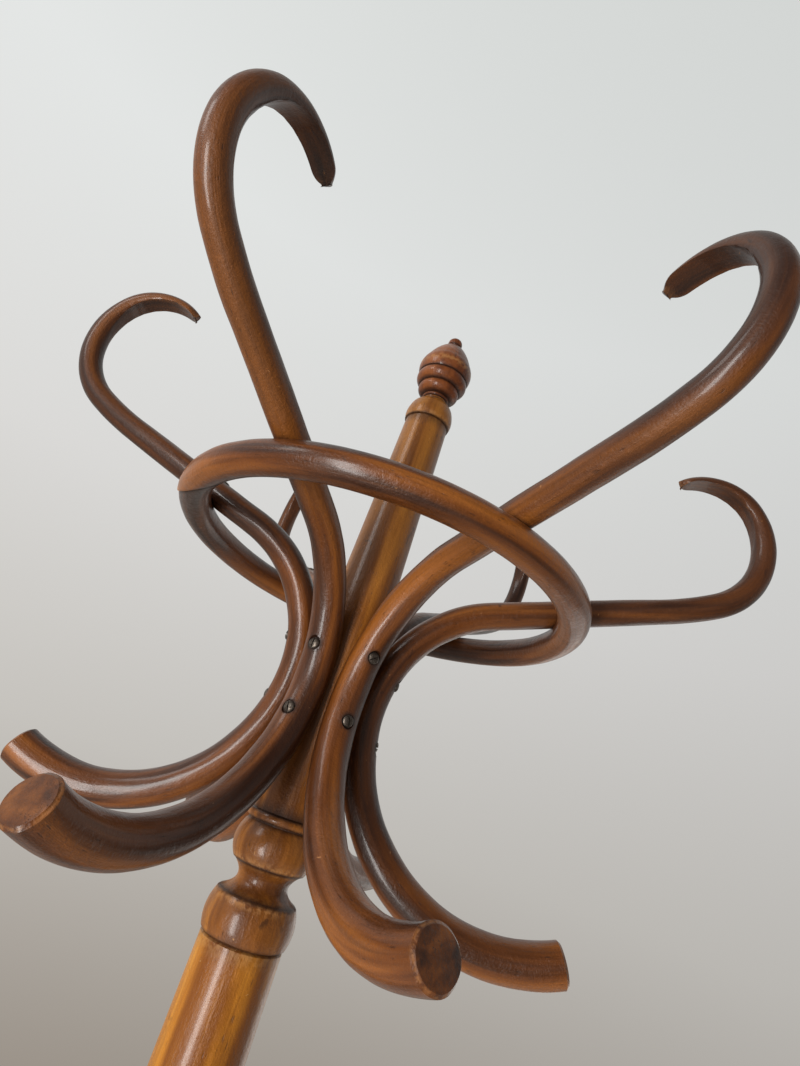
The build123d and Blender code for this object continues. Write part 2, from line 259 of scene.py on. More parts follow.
@dataclass(frozen=True)
class LacqueredBeech:
    """Beech under an old clear lacquer: rays, streaks, dark flecks, knocks and rubbed places.

    The pattern reads the attribute "grain", which holds a place in the straight rod or block that
    the piece was made from: across, across and along. "grime_and_shade" darkens, with real dirt and,
    on the upper arms, with painted shade; "worn" rubs bare.
    """

    name: str
    slot: Slot
    deep: Colour
    body: Colour
    pale: Colour
    # the dark tone of dirt, knocks and rays, also the tone of the painted shade on the upper arms
    dirt_and_shade: Colour
    bare: Colour
    streaks: float = 0.24
    figure: float = 0.14
    roughness: float = 0.36
    coat: float = 0.30
    coat_roughness: float = 0.17
    shine: float = 0.25

    def material(self) -> bpy.types.Material:
        """Builds the material.

        Returns:
            The new material.
        """
        material = bpy.data.materials.new(self.name)
        material.use_nodes = True
        bench = Bench(material.node_tree)
        shader = material.node_tree.nodes["Principled BSDF"]
        grain = bench.node("ShaderNodeAttribute", attribute_name="grain").outputs["Vector"]
        grime_and_shade = bench.node("ShaderNodeAttribute", attribute_name="grime_and_shade").outputs["Fac"]
        worn = bench.node("ShaderNodeAttribute", attribute_name="worn").outputs["Fac"]
        long = bench.vector("MULTIPLY", grain, (1.0, 1.0, 0.10))
        longer = bench.vector("MULTIPLY", grain, (1.0, 1.0, 0.035))

        tone = bench.noise(long, 42.0, 3.0, 0.6)
        streak = bench.noise(longer, 330.0, 4.0, 0.4)
        fibre = bench.noise(longer, 1500.0, 3.0)
        rings = bench.node("ShaderNodeTexWave", {
            "Vector": long, "Scale": 34.0, "Distortion": 5.0, "Detail": 3.0, "Detail Scale": 1.6,
        }, wave_type="BANDS", bands_direction="X", wave_profile="SIN").outputs["Fac"]
        wash = bench.maths("ADD", bench.ramp(tone, 0.30, 0.72),
                           bench.maths("MULTIPLY", bench.maths("SUBTRACT", rings, 0.5), self.figure))
        low = bench.blend(bench.ramp(wash, 0.0, 0.6), self.deep, self.body)
        colour = bench.blend(bench.ramp(wash, 0.45, 1.05), low, self.pale)
        stained = bench.blend(1.0, colour, self.deep, "MULTIPLY")
        colour = bench.stain(colour, bench.ramp(streak, 0.44, 0.70), self.streaks, stained)
        colour = bench.stain(colour, bench.ramp(streak, 0.50, 0.30), 0.5 * self.streaks, self.pale)
        colour = bench.stain(colour, bench.ramp(fibre, 0.55, 0.75), 0.30, self.deep)

        rays = bench.node("ShaderNodeTexVoronoi", {
            "Vector": bench.vector("MULTIPLY", grain, (1.0, 1.0, 0.16)), "Scale": 620.0,
        }, feature="F1").outputs["Distance"]
        ray_gate = bench.ramp(bench.noise(grain, 130.0, 2.0), 0.52, 0.66)
        ray = bench.maths("MULTIPLY", bench.ramp(rays, 0.30, 0.12), ray_gate)
        colour = bench.stain(colour, ray, 0.55, self.dirt_and_shade)

        knock_shape = bench.noise(bench.vector("MULTIPLY", grain, (1.0, 1.0, 0.55)), 95.0, 4.0, 0.8)
        knock = bench.ramp(knock_shape, 0.66, 0.76)
        colour = bench.stain(colour, knock, 0.65, self.dirt_and_shade)
        smear = bench.ramp(bench.noise(long, 75.0, 3.0, 1.2), 0.56, 0.74)
        colour = bench.stain(colour, smear, 0.35, self.deep)

        # Stained dark where the darkening attribute is high: real dirt at joints, screws and grooves, and
        # painted shade on the upper arms.
        soiled_and_shaded = bench.maths("MULTIPLY", grime_and_shade, bench.ramp(bench.noise(grain, 260.0, 2.0), -0.25, 0.52))
        colour = bench.stain(colour, soiled_and_shaded, 0.92, self.dirt_and_shade)
        rub = bench.maths("MULTIPLY", worn, bench.ramp(bench.noise(grain, 300.0, 4.0), 0.40, 0.56))
        chip_shape = bench.noise(bench.vector("MULTIPLY", grain, (1.0, 1.0, 0.7)), 260.0, 5.0, 0.5)
        chip = bench.ramp(chip_shape, 0.735, 0.755)
        bared = bench.maths("MAXIMUM", rub, bench.maths("MULTIPLY", chip, 0.55), clamp=True)
        colour = bench.blend(bared, colour, self.bare)

        scuff = bench.ramp(bench.noise(long, 520.0, 4.0, 1.0), 0.50, 0.72)
        film = bench.ramp(bench.noise(grain, 38.0, 3.0), 0.35, 0.70)
        rough = self.roughness
        for roughened, part in ((scuff, 0.12), (film, 0.08), (soiled_and_shaded, 0.22)):
            rough = bench.add_part(rough, roughened, part)
        rough = bench.add_part(rough, bared, 0.25, clamp=True)

        relief = bench.maths("MULTIPLY", fibre, 0.25)
        waves, peel = bench.noise(grain, 210.0, 3.0), bench.noise(grain, 760.0, 2.0)
        for raised, part in ((streak, 0.35), (waves, 0.8), (peel, 0.45)):
            relief = bench.add_part(relief, raised, part)
        for sunk, part in ((bared, 0.35), (ray, 0.20)):
            relief = bench.add_part(relief, sunk, part, "SUBTRACT")
        bump = bench.node("ShaderNodeBump", {"Height": relief, "Strength": 0.9, "Distance": 0.00070})

        bench.feed(shader.inputs["Base Color"], colour)
        bench.feed(shader.inputs["Roughness"], rough)
        bench.feed(shader.inputs["Normal"], bump.outputs[0])
        shader.inputs["Coat Weight"].default_value = self.coat
        shader.inputs["Coat Roughness"].default_value = self.coat_roughness
        shader.inputs["Specular IOR Level"].default_value = self.shine
        return material


@dataclass(frozen=True)
class WornSteel:
    """Steel that has oxidised or been rubbed, with pits and fine scratches."""

    name: str
    slot: Slot
    clean: Colour
    rust: Colour
    rust_share: float
    roughness: float
    metallic: float = 0.9

    def material(self) -> bpy.types.Material:
        """Builds the material.

        Returns:
            The new material.
        """
        material = bpy.data.materials.new(self.name)
        material.use_nodes = True
        bench = Bench(material.node_tree)
        shader = material.node_tree.nodes["Principled BSDF"]
        place = bench.node("ShaderNodeTexCoord").outputs["Object"]
        cloud = bench.noise(place, 650.0, 4.0, 0.5)
        pits = bench.noise(place, 2600.0, 3.0)
        scratch = bench.noise(bench.vector("MULTIPLY", place, (1.0, 0.12, 1.0)), 5200.0, 2.0)
        rusty = bench.maths("MULTIPLY", bench.ramp(cloud, 0.35, 0.70), self.rust_share)
        colour = bench.blend(rusty, self.clean, self.rust)
        colour = bench.blend(bench.ramp(pits, 0.56, 0.74), colour, self.rust)
        rough = bench.maths("ADD", self.roughness, bench.maths("MULTIPLY", rusty, 0.35))
        rough = bench.maths("ADD", rough, bench.maths("MULTIPLY", bench.ramp(scratch, 0.5, 0.7), 0.12))
        relief = bench.maths("SUBTRACT", bench.maths("MULTIPLY", cloud, 0.5), pits)
        bump = bench.node("ShaderNodeBump", {"Height": relief, "Strength": 0.35, "Distance": 0.00012})
        bench.feed(shader.inputs["Base Color"], colour)
        bench.feed(shader.inputs["Roughness"], rough)
        bench.feed(shader.inputs["Normal"], bump.outputs[0])
        shader.inputs["Metallic"].default_value = self.metallic
        return material


ARM_FINISH = LacqueredBeech(
    "arm_lacquer", Slot.BENT, deep=tint(50, 24, 9), body=tint(98, 52, 16), pale=tint(136, 79, 28),
    dirt_and_shade=tint(36, 18, 9), bare=tint(172, 118, 70))
SHAFT_FINISH = LacqueredBeech(
    "shaft_lacquer", Slot.SHAFT, deep=tint(92, 50, 15), body=tint(126, 74, 24), pale=tint(158, 101, 38),
    dirt_and_shade=tint(45, 24, 12), bare=tint(186, 134, 80), streaks=0.18, figure=0.08)
FINIAL_FINISH = LacqueredBeech(
    "finial_lacquer", Slot.SHAFT, deep=tint(84, 40, 15), body=tint(116, 60, 24), pale=tint(146, 84, 40),
    dirt_and_shade=tint(45, 22, 12), bare=tint(186, 134, 80), streaks=0.18, figure=0.08)
POST_FINISH = LacqueredBeech(
    "post_lacquer", Slot.POST, deep=tint(118, 66, 17), body=tint(168, 106, 30), pale=tint(194, 132, 46),
    dirt_and_shade=tint(60, 32, 14), bare=tint(214, 170, 112), streaks=0.15, figure=0.08)
SCREW_FINISH = WornSteel(
    "screw_steel_dark", Slot.SCREW, clean=tint(104, 96, 88), rust=tint(46, 32, 24),
    rust_share=0.85, roughness=0.34)
GLIDE_FINISH = WornSteel(
    "glide_nickel", Slot.GLIDE, clean=tint(178, 174, 166), rust=tint(96, 84, 70),
    rust_share=0.35, roughness=0.28)


class Workshop:
    """Keeps the finishes and puts finished pieces into the frame."""

    def __init__(self) -> None:
        """Mixes the finishes."""
        self.finishes = {finish.name: finish.material() for finish in (
            ARM_FINISH, SHAFT_FINISH, FINIAL_FINISH, POST_FINISH, SCREW_FINISH, GLIDE_FINISH)}

    def material(self, finish: LacqueredBeech | WornSteel) -> bpy.types.Material:
        """The material of a finish."""
        return self.finishes[finish.name]

    def fit(self, piece: bpy.types.Object, body: Body, finish: LacqueredBeech | WornSteel, node: str) -> None:
        """Finishes a piece and fits it in place of a node.

        Args:
            piece: the finished piece.
            body: the body that it rides on.
            finish: its finish.
            node: the node that it stands for.
        """
        piece.data.materials.clear()
        piece.data.materials.append(self.material(finish))
        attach(piece, body.value)
        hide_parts(node)
        log.info("%s: %d faces, on %s", piece.name, len(piece.data.polygons), body.value)


def shade(mesh: bpy.types.Mesh, sharp: float = 32.0) -> None:
    """Shades a mesh smooth, but not over its edges.

    Args:
        mesh: the mesh.
        sharp: the angle in degrees over which an edge stays sharp.
    """
    mesh.shade_smooth()
    mesh.set_sharp_from_angle(angle=radians(sharp))


def put_values(mesh: bpy.types.Mesh, name: str, values: np.ndarray) -> None:
    """Writes one number or one vector for each vertex.

    Args:
        mesh: the mesh.
        name: the attribute's name.
        values: an array of one or three columns.
    """
    kind = "FLOAT_VECTOR" if values.ndim == 2 else "FLOAT"
    old = mesh.attributes.get(name)
    if old:
        mesh.attributes.remove(old)
    attribute = mesh.attributes.new(name, kind, "POINT")
    key = "vector" if values.ndim == 2 else "value"
    attribute.data.foreach_set(key, values.astype(np.float32).ravel())


def places(mesh: bpy.types.Mesh) -> np.ndarray:
    """The vertices of a mesh as rows of three numbers.

    Args:
        mesh: the mesh.

    Returns:
        One row for each vertex, in metres.
    """
    flat = np.zeros(len(mesh.vertices) * 3)
    mesh.vertices.foreach_get("co", flat)
    return flat.reshape(-1, 3)


def in_scene(name: str, data: bpy.types.ID) -> bpy.types.Object:
    """Makes an object of some data and links it into the scene.

    Args:
        name: the object's name.
        data: its mesh, curve, light or camera.

    Returns:
        The object.
    """
    made = bpy.data.objects.new(name, data)
    bpy.context.scene.collection.objects.link(made)
    return made


def settled(holder: bpy.types.Object, modifier: bpy.types.Modifier) -> bpy.types.Mesh:
    """The plain mesh that an object comes to under a modifier, which is then removed.

    Args:
        holder: the object.
        modifier: its modifier.

    Returns:
        The new mesh.
    """
    graph = bpy.context.evaluated_depsgraph_get()
    mesh = bpy.data.meshes.new_from_object(holder.evaluated_get(graph))
    holder.modifiers.remove(modifier)
    return mesh


def new_tree(name: str, source: str, sizes: Iterable[str], others: Iterable[tuple[str, str]],
             result: str) -> tuple[bpy.types.NodeTree, dict[str, str]]:
    """Starts a geometry node tree with named inputs.

    Args:
        name: the tree's name.
        source: the name of its input geometry.
        sizes: the names of its plain numbers.
        others: the name and the kind of each other input.
        result: the name of its output geometry.

    Returns:
        The tree, and the identifier of each input by name.
    """
    tree = bpy.data.node_groups.new(name, "GeometryNodeTree")
    face = tree.interface
    face.new_socket(source, in_out="INPUT", socket_type="NodeSocketGeometry")
    for size in sizes:
        face.new_socket(size, in_out="INPUT", socket_type="NodeSocketFloat")
    for other, kind in others:
        face.new_socket(other, in_out="INPUT", socket_type="NodeSocket" + kind)
    face.new_socket(result, in_out="OUTPUT", socket_type="NodeSocketGeometry")
    return tree, {item.name: item.identifier for item in face.items_tree
                  if item.item_type == "SOCKET" and item.in_out == "INPUT"}


def fading(gap: np.ndarray, reach: float) -> np.ndarray:
    """From 1 where there is no gap to 0 where the gap is as wide as the reach."""
    return np.clip(1 - gap / reach, 0, 1)


def near(points: np.ndarray, spots: Iterable[Vector], reach: float, core: float) -> np.ndarray:
    """How near each point is to any of some spots.

    Args:
        points: rows of points.
        spots: the spots.
        reach: the distance at which nothing is left.
        core: the distance within which it is full.

    Returns:
        A number from 0 to 1 for each point.
    """
    result = np.zeros(len(points))
    for spot in spots:
        gap = np.linalg.norm(points - np.array(spot), axis=1)
        result = np.maximum(result, np.clip((reach - gap) / (reach - core), 0, 1))
    return result


# ---- bent rods -----------------------------------------------------------------------------


@dataclass(frozen=True)
class BendSchedule:
    """How a rod is bent: runs of (length in mm, turn in degrees) from its waist up and down."""

    up: tuple[Run, ...]
    down: tuple[Run, ...]

    @property
    def top(self) -> float:
        """The length above the waist, in mm."""
        return sum(length for length, _ in self.up)

    @property
    def bottom(self) -> float:
        """The length below the waist, in mm."""
        return sum(length for length, _ in self.down)

    def station(self, distance: float) -> tuple[Vector, Vector]:
        """The place and the heading on the rod's line, in the rod's own plane, bent out along +X.

        Args:
            distance: how far up from the waist, in mm; below it is negative.

        Returns:
            The place in metres and the unit heading up the rod.
        """
        left, out, height, heading = abs(distance), 0.0, 0.0, 0.0
        for length, turn in self.up if distance >= 0 else self.down:
            run = min(left, length)
            bend = radians(turn) * run / length
            if turn:
                radius = length / radians(turn)
                out += radius * (cos(heading) - cos(heading + bend))
                height += radius * (sin(heading + bend) - sin(heading))
            else:
                out += run * sin(heading)
                height += run * cos(heading)
            heading += bend
            left -= run
            if left <= 0:
                break
        if distance >= 0:
            return Vector((out, 0, height)) * MM, Vector((sin(heading), 0, cos(heading)))
        return Vector((out, 0, -height)) * MM, Vector((-sin(heading), 0, cos(heading)))


@dataclass(frozen=True)
class RodShape:
    """The sections of a bent rod, in mm."""

    radius: float
    taper: float
    oval: float = 0.97
    planed_depth: float = 0.0
    planed_length: float = 105.0
    tip_round: float = 0.0
    top_bevel: float = 0.0
    foot_bevel: float = 2.0
    sides: int = 44
    spacing: float = 3.0
    unevenness: float = 0.16

    def half_thickness(self, distance: float) -> float:
        """Half the rod's thickness in metres, at a distance in mm up from its waist."""
        return (self.radius + self.taper * distance) * self.oval * MM

    def stations(self, low: float, high: float) -> list[float]:
        """Distances along the rod, close together at its rounded and bevelled ends.

        Args:
            low: the lower end, in mm.
            high: the upper end, in mm.

        Returns:
            Distances in mm, from the lower end up.
        """
        steps = ceil((high - low) / self.spacing)
        even = [low + (high - low) * step / steps for step in range(steps + 1)]
        foot = [low, low + self.foot_bevel / 2, low + self.foot_bevel] if self.foot_bevel else [low]
        if self.tip_round:
            head = [high - self.tip_round * (1 - cos(pi / 2 * step / 9)) for step in range(10)]
        elif self.top_bevel:
            head = [high, high - self.top_bevel / 2, high - self.top_bevel]
        else:
            head = [high]
        clear_low, clear_high = max(foot) + 0.8, min(head) - 0.8
        return foot + [d for d in even if clear_low < d < clear_high] + sorted(head)


class RodTree:
    """The node tree that sweeps a bent rod along its line.

    The line is a poly curve in one plane. The section is an oval that tapers from the foot up. Its
    inner side is planed away towards the top, its top is rounded or bevelled, its foot is bevelled.
    """

    SIZES = ("Waist Distance", "Rod Radius", "Taper", "Oval", "Planed Depth", "Planed Length", "Tip Round",
             "Top Bevel", "Foot Bevel", "Unevenness", "Seed")

    def __init__(self) -> None:
        """Builds the tree."""
        self.tree, self.identifiers = new_tree("bent_rod", "Line", self.SIZES, (
            ("Sides", "Int"), ("Plane Normal", "Vector"), ("Finish", "Material")), "Rod")
        self._lay_out(Bench(self.tree))

    @staticmethod
    def _keep(bench: Bench, geometry: object, name: str, value: object, kind: str) -> bpy.types.NodeSocket:
        """Stores a value on the points of a geometry under a name.

        Args:
            bench: the tree's bench.
            geometry: the geometry.
            name: the attribute's name.
            value: the value.
            kind: its data type.

        Returns:
            The geometry with the attribute.
        """
        node = bench.node("GeometryNodeStoreNamedAttribute", data_type=kind, domain="POINT")
        bench.feed(node.inputs["Geometry"], geometry)
        bench.feed(node.inputs["Name"], name)
        bench.feed(node.inputs["Value"], value)
        return node.outputs[0]

    @staticmethod
    def _recall(bench: Bench, name: str, kind: str) -> bpy.types.NodeSocket:
        """Reads a value that was stored under a name.

        Args:
            bench: the tree's bench.
            name: the attribute's name.
            kind: its data type.

        Returns:
            The value.
        """
        node = bench.node("GeometryNodeInputNamedAttribute", data_type=kind)
        node.inputs["Name"].default_value = name
        return node.outputs[0]

    def _lay_out(self, bench: Bench) -> None:
        """Lays the tree out.

        Args:
            bench: the tree's bench.
        """
        given = bench.node("NodeGroupInput").outputs
        line = given["Line"]
        total = bench.node("GeometryNodeCurveLength", {0: line}).outputs[0]
        along = bench.node("GeometryNodeSplineParameter").outputs["Length"]
        heading = bench.node("GeometryNodeInputTangent").outputs[0]
        place = bench.node("GeometryNodeInputPosition").outputs[0]
        line = self._keep(bench, line, "rod_along", along, "FLOAT")
        line = self._keep(bench, line, "rod_heading", heading, "FLOAT_VECTOR")
        line = self._keep(bench, line, "rod_centre", place, "FLOAT_VECTOR")
        ring = bench.node("GeometryNodeCurvePrimitiveCircle", {"Resolution": given["Sides"], "Radius": 1.0})
        turn = bench.maths("MULTIPLY", bench.node("GeometryNodeSplineParameter").outputs["Factor"], 2 * pi)
        ring_line = self._keep(bench, ring.outputs[0], "rod_turn", turn, "FLOAT")
        sweep = bench.node("GeometryNodeCurveToMesh", {"Curve": line, "Profile Curve": ring_line,
                                                       "Fill Caps": True}).outputs[0]

        length = self._recall(bench, "rod_along", "FLOAT")
        centre = self._recall(bench, "rod_centre", "FLOAT_VECTOR")
        forward = self._recall(bench, "rod_heading", "FLOAT_VECTOR")
        angle = self._recall(bench, "rod_turn", "FLOAT")
        across = given["Plane Normal"]
        outward = bench.vector("NORMALIZE", bench.vector("CROSS_PRODUCT", across, forward))

        from_waist = bench.maths("SUBTRACT", length, given["Waist Distance"])
        width = bench.maths("MULTIPLY_ADD", given["Taper"], from_waist, given["Rod Radius"])
        to_tip = bench.maths("SUBTRACT", total, length)
        thickness = bench.maths("MULTIPLY", width, given["Oval"])
        planed = bench.maths("DIVIDE", to_tip, given["Planed Length"])
        planed = bench.maths("SUBTRACT", 1.0, planed, clamp=True)
        planed = bench.maths("MULTIPLY", given["Planed Depth"], bench.maths("POWER", planed, 1.3))

        short = bench.maths("SUBTRACT", 1.0, bench.maths("DIVIDE", to_tip, given["Tip Round"]), clamp=True)
        arc = bench.maths("SQRT", bench.maths("SUBTRACT", 1.0, bench.maths("MULTIPLY", short, short)))
        arc = bench.maths("MAXIMUM", arc, 0.42)
        top_cut = bench.maths("SUBTRACT", given["Top Bevel"], to_tip)
        foot_cut = bench.maths("SUBTRACT", given["Foot Bevel"], length)
        cut = bench.maths("ADD", bench.maths("MAXIMUM", top_cut, 0.0), bench.maths("MAXIMUM", foot_cut, 0.0))
        width = bench.maths("MULTIPLY", bench.maths("SUBTRACT", width, cut), arc)
        thickness = bench.maths("SUBTRACT", thickness, cut)

        level = bench.maths("SUBTRACT", bench.maths("MULTIPLY", planed, 2.0), 1.0)
        chord = bench.maths("SQRT", bench.maths("SUBTRACT", 1.0, bench.maths("MULTIPLY", level, level)))
        over = bench.maths("LESS_THAN", bench.maths("COSINE", angle), level)
        held = bench.maths("MAXIMUM", bench.maths("MINIMUM", bench.maths("SINE", angle), chord),
                           bench.maths("MULTIPLY", chord, -1.0))
        swing = bench.maths("SUBTRACT", held, bench.maths("SINE", angle))
        swing = bench.maths("MULTIPLY_ADD", swing, over, bench.maths("SINE", angle))
        side = bench.maths("MULTIPLY", swing, width)
        face = bench.maths("MULTIPLY", bench.maths("MAXIMUM", bench.maths("COSINE", angle), level), thickness)
        straight = bench.node("ShaderNodeCombineXYZ", {0: side, 1: face, 2: length}).outputs[0]
        seeded = bench.vector("ADD", bench.vector("MULTIPLY", straight, (1.0, 1.0, 0.32)), given["Seed"])
        waver = bench.maths("SUBTRACT", bench.noise(seeded, 62.0, 2.0), 0.5)
        grow = bench.maths("MULTIPLY_ADD", waver, given["Unevenness"], 1.0)
        moved = bench.vector("ADD", bench.vector("SCALE", outward, scale=bench.maths("MULTIPLY", face, grow)),
                             bench.vector("SCALE", across, scale=bench.maths("MULTIPLY", side, grow)))
        swept = bench.node("GeometryNodeSetPosition", {
            "Geometry": sweep, "Position": bench.vector("ADD", centre, moved)}).outputs[0]
        swept = self._keep(bench, swept, "grain", straight, "FLOAT_VECTOR")
        for name in ("rod_along", "rod_heading", "rod_centre", "rod_turn"):
            node = bench.node("GeometryNodeRemoveAttribute", {"Geometry": swept, "Name": name})
            swept = node.outputs[0]
        swept = bench.node("GeometryNodeRealizeInstances", {"Geometry": swept}).outputs[0]
        dressed = bench.node("GeometryNodeSetMaterial", {"Geometry": swept, "Material": given["Finish"]})
        out = bench.node("NodeGroupOutput")
        bench.feed(out.inputs[0], dressed.outputs[0])

    def sweep(self, name: str, line: Sequence[Vector], normal: Vector, shape: RodShape, waist: float,
              seed: float, finish: bpy.types.Material) -> bpy.types.Object:
        """Sweeps one rod.

        Args:
            name: the piece's name.
            line: the points of its centre line, from its foot up.
            normal: the direction square to the line's plane.
            shape: its sections.
            waist: how far up the line the waist is, in metres.
            seed: what makes this rod's unevenness its own.
            finish: its material.

        Returns:
            A plain mesh object with the attribute "grain".
        """
        curve = bpy.data.curves.new(name + "_line", "CURVE")
        curve.dimensions = "3D"
        spline = curve.splines.new("POLY")
        spline.points.add(len(line) - 1)
        for point, place in zip(spline.points, line):
            point.co = (*place, 1.0)
        guide = in_scene(name + "_line", curve)
        modifier = guide.modifiers.new("sweep", "NODES")
        modifier.node_group = self.tree
        values = dict(zip(self.SIZES, (
            waist, shape.radius * MM, shape.taper, shape.oval, shape.planed_depth, shape.planed_length * MM,
            max(shape.tip_round, 0.001) * MM, shape.top_bevel * MM, shape.foot_bevel * MM,
            shape.unevenness, seed)))
        for size, value in values.items():
            modifier[self.identifiers[size]] = float(value)
        modifier[self.identifiers["Sides"]] = shape.sides
        modifier[self.identifiers["Plane Normal"]] = tuple(normal)
        modifier[self.identifiers["Finish"]] = finish
        mesh = settled(guide, modifier)
        bpy.data.objects.remove(guide)
        bpy.data.curves.remove(curve)
        finish_ends(mesh)
        shade(mesh)
        return in_scene(name, mesh)


def finish_ends(mesh: bpy.types.Mesh, dome: float = 0.35) -> None:
    """Turns the faces of a rod outwards, and divides its end faces into rings that crown a little.

    Args:
        mesh: the rod.
        dome: how far each end's middle stands proud, in mm.
    """
    work = bmesh.new()
    work.from_mesh(mesh)
    bmesh.ops.recalc_face_normals(work, faces=work.faces)
    for end in [face for face in work.faces if len(face.verts) > 12]:
        middle = end.calc_center_median()
        reach = min((vert.co - middle).length for vert in end.verts)
        for share, lift in ((0.06, 0.06), (0.14, 0.14), (0.30, 0.22), (0.25, dome - 0.42)):
            bmesh.ops.inset_individual(work, faces=[end], thickness=share * reach, depth=max(lift, 0) * MM)
        bmesh.ops.poke(work, faces=[end])
    work.to_mesh(mesh)
    work.free()


@dataclass(frozen=True)
class Seat:
    """Where a screw's head sits: a place and the direction that the head faces."""

    place: Vector
    facing: Vector


@dataclass(frozen=True)
class ScrewShape:
    """A slotted round-headed wood screw, in mm."""

    head_radius: float = 4.0
    edge: float = 0.8
    dome: float = 1.8
    slot_width: float = 1.0
    slot_depth: float = 1.3
    shank_radius: float = 2.1
    shank_length: float = 18.0
    seat_radius: float = 4.6
    seat_depth: float = 1.4


SCREW = ScrewShape()
CUTTER_DEPTH = 8.0      # of the bit that sinks a seat, in mm
CUTTER_FLARE = 1.6      # how much wider the bit is at its top
SCREW_DIRT = 7.2        # how far round a screw dirt reaches, and within which it is full
SCREW_DIRT_CORE = 4.4
JOINT_DIRT = 3.5        # how far dirt reaches from a rod's seat on the shaft or the post


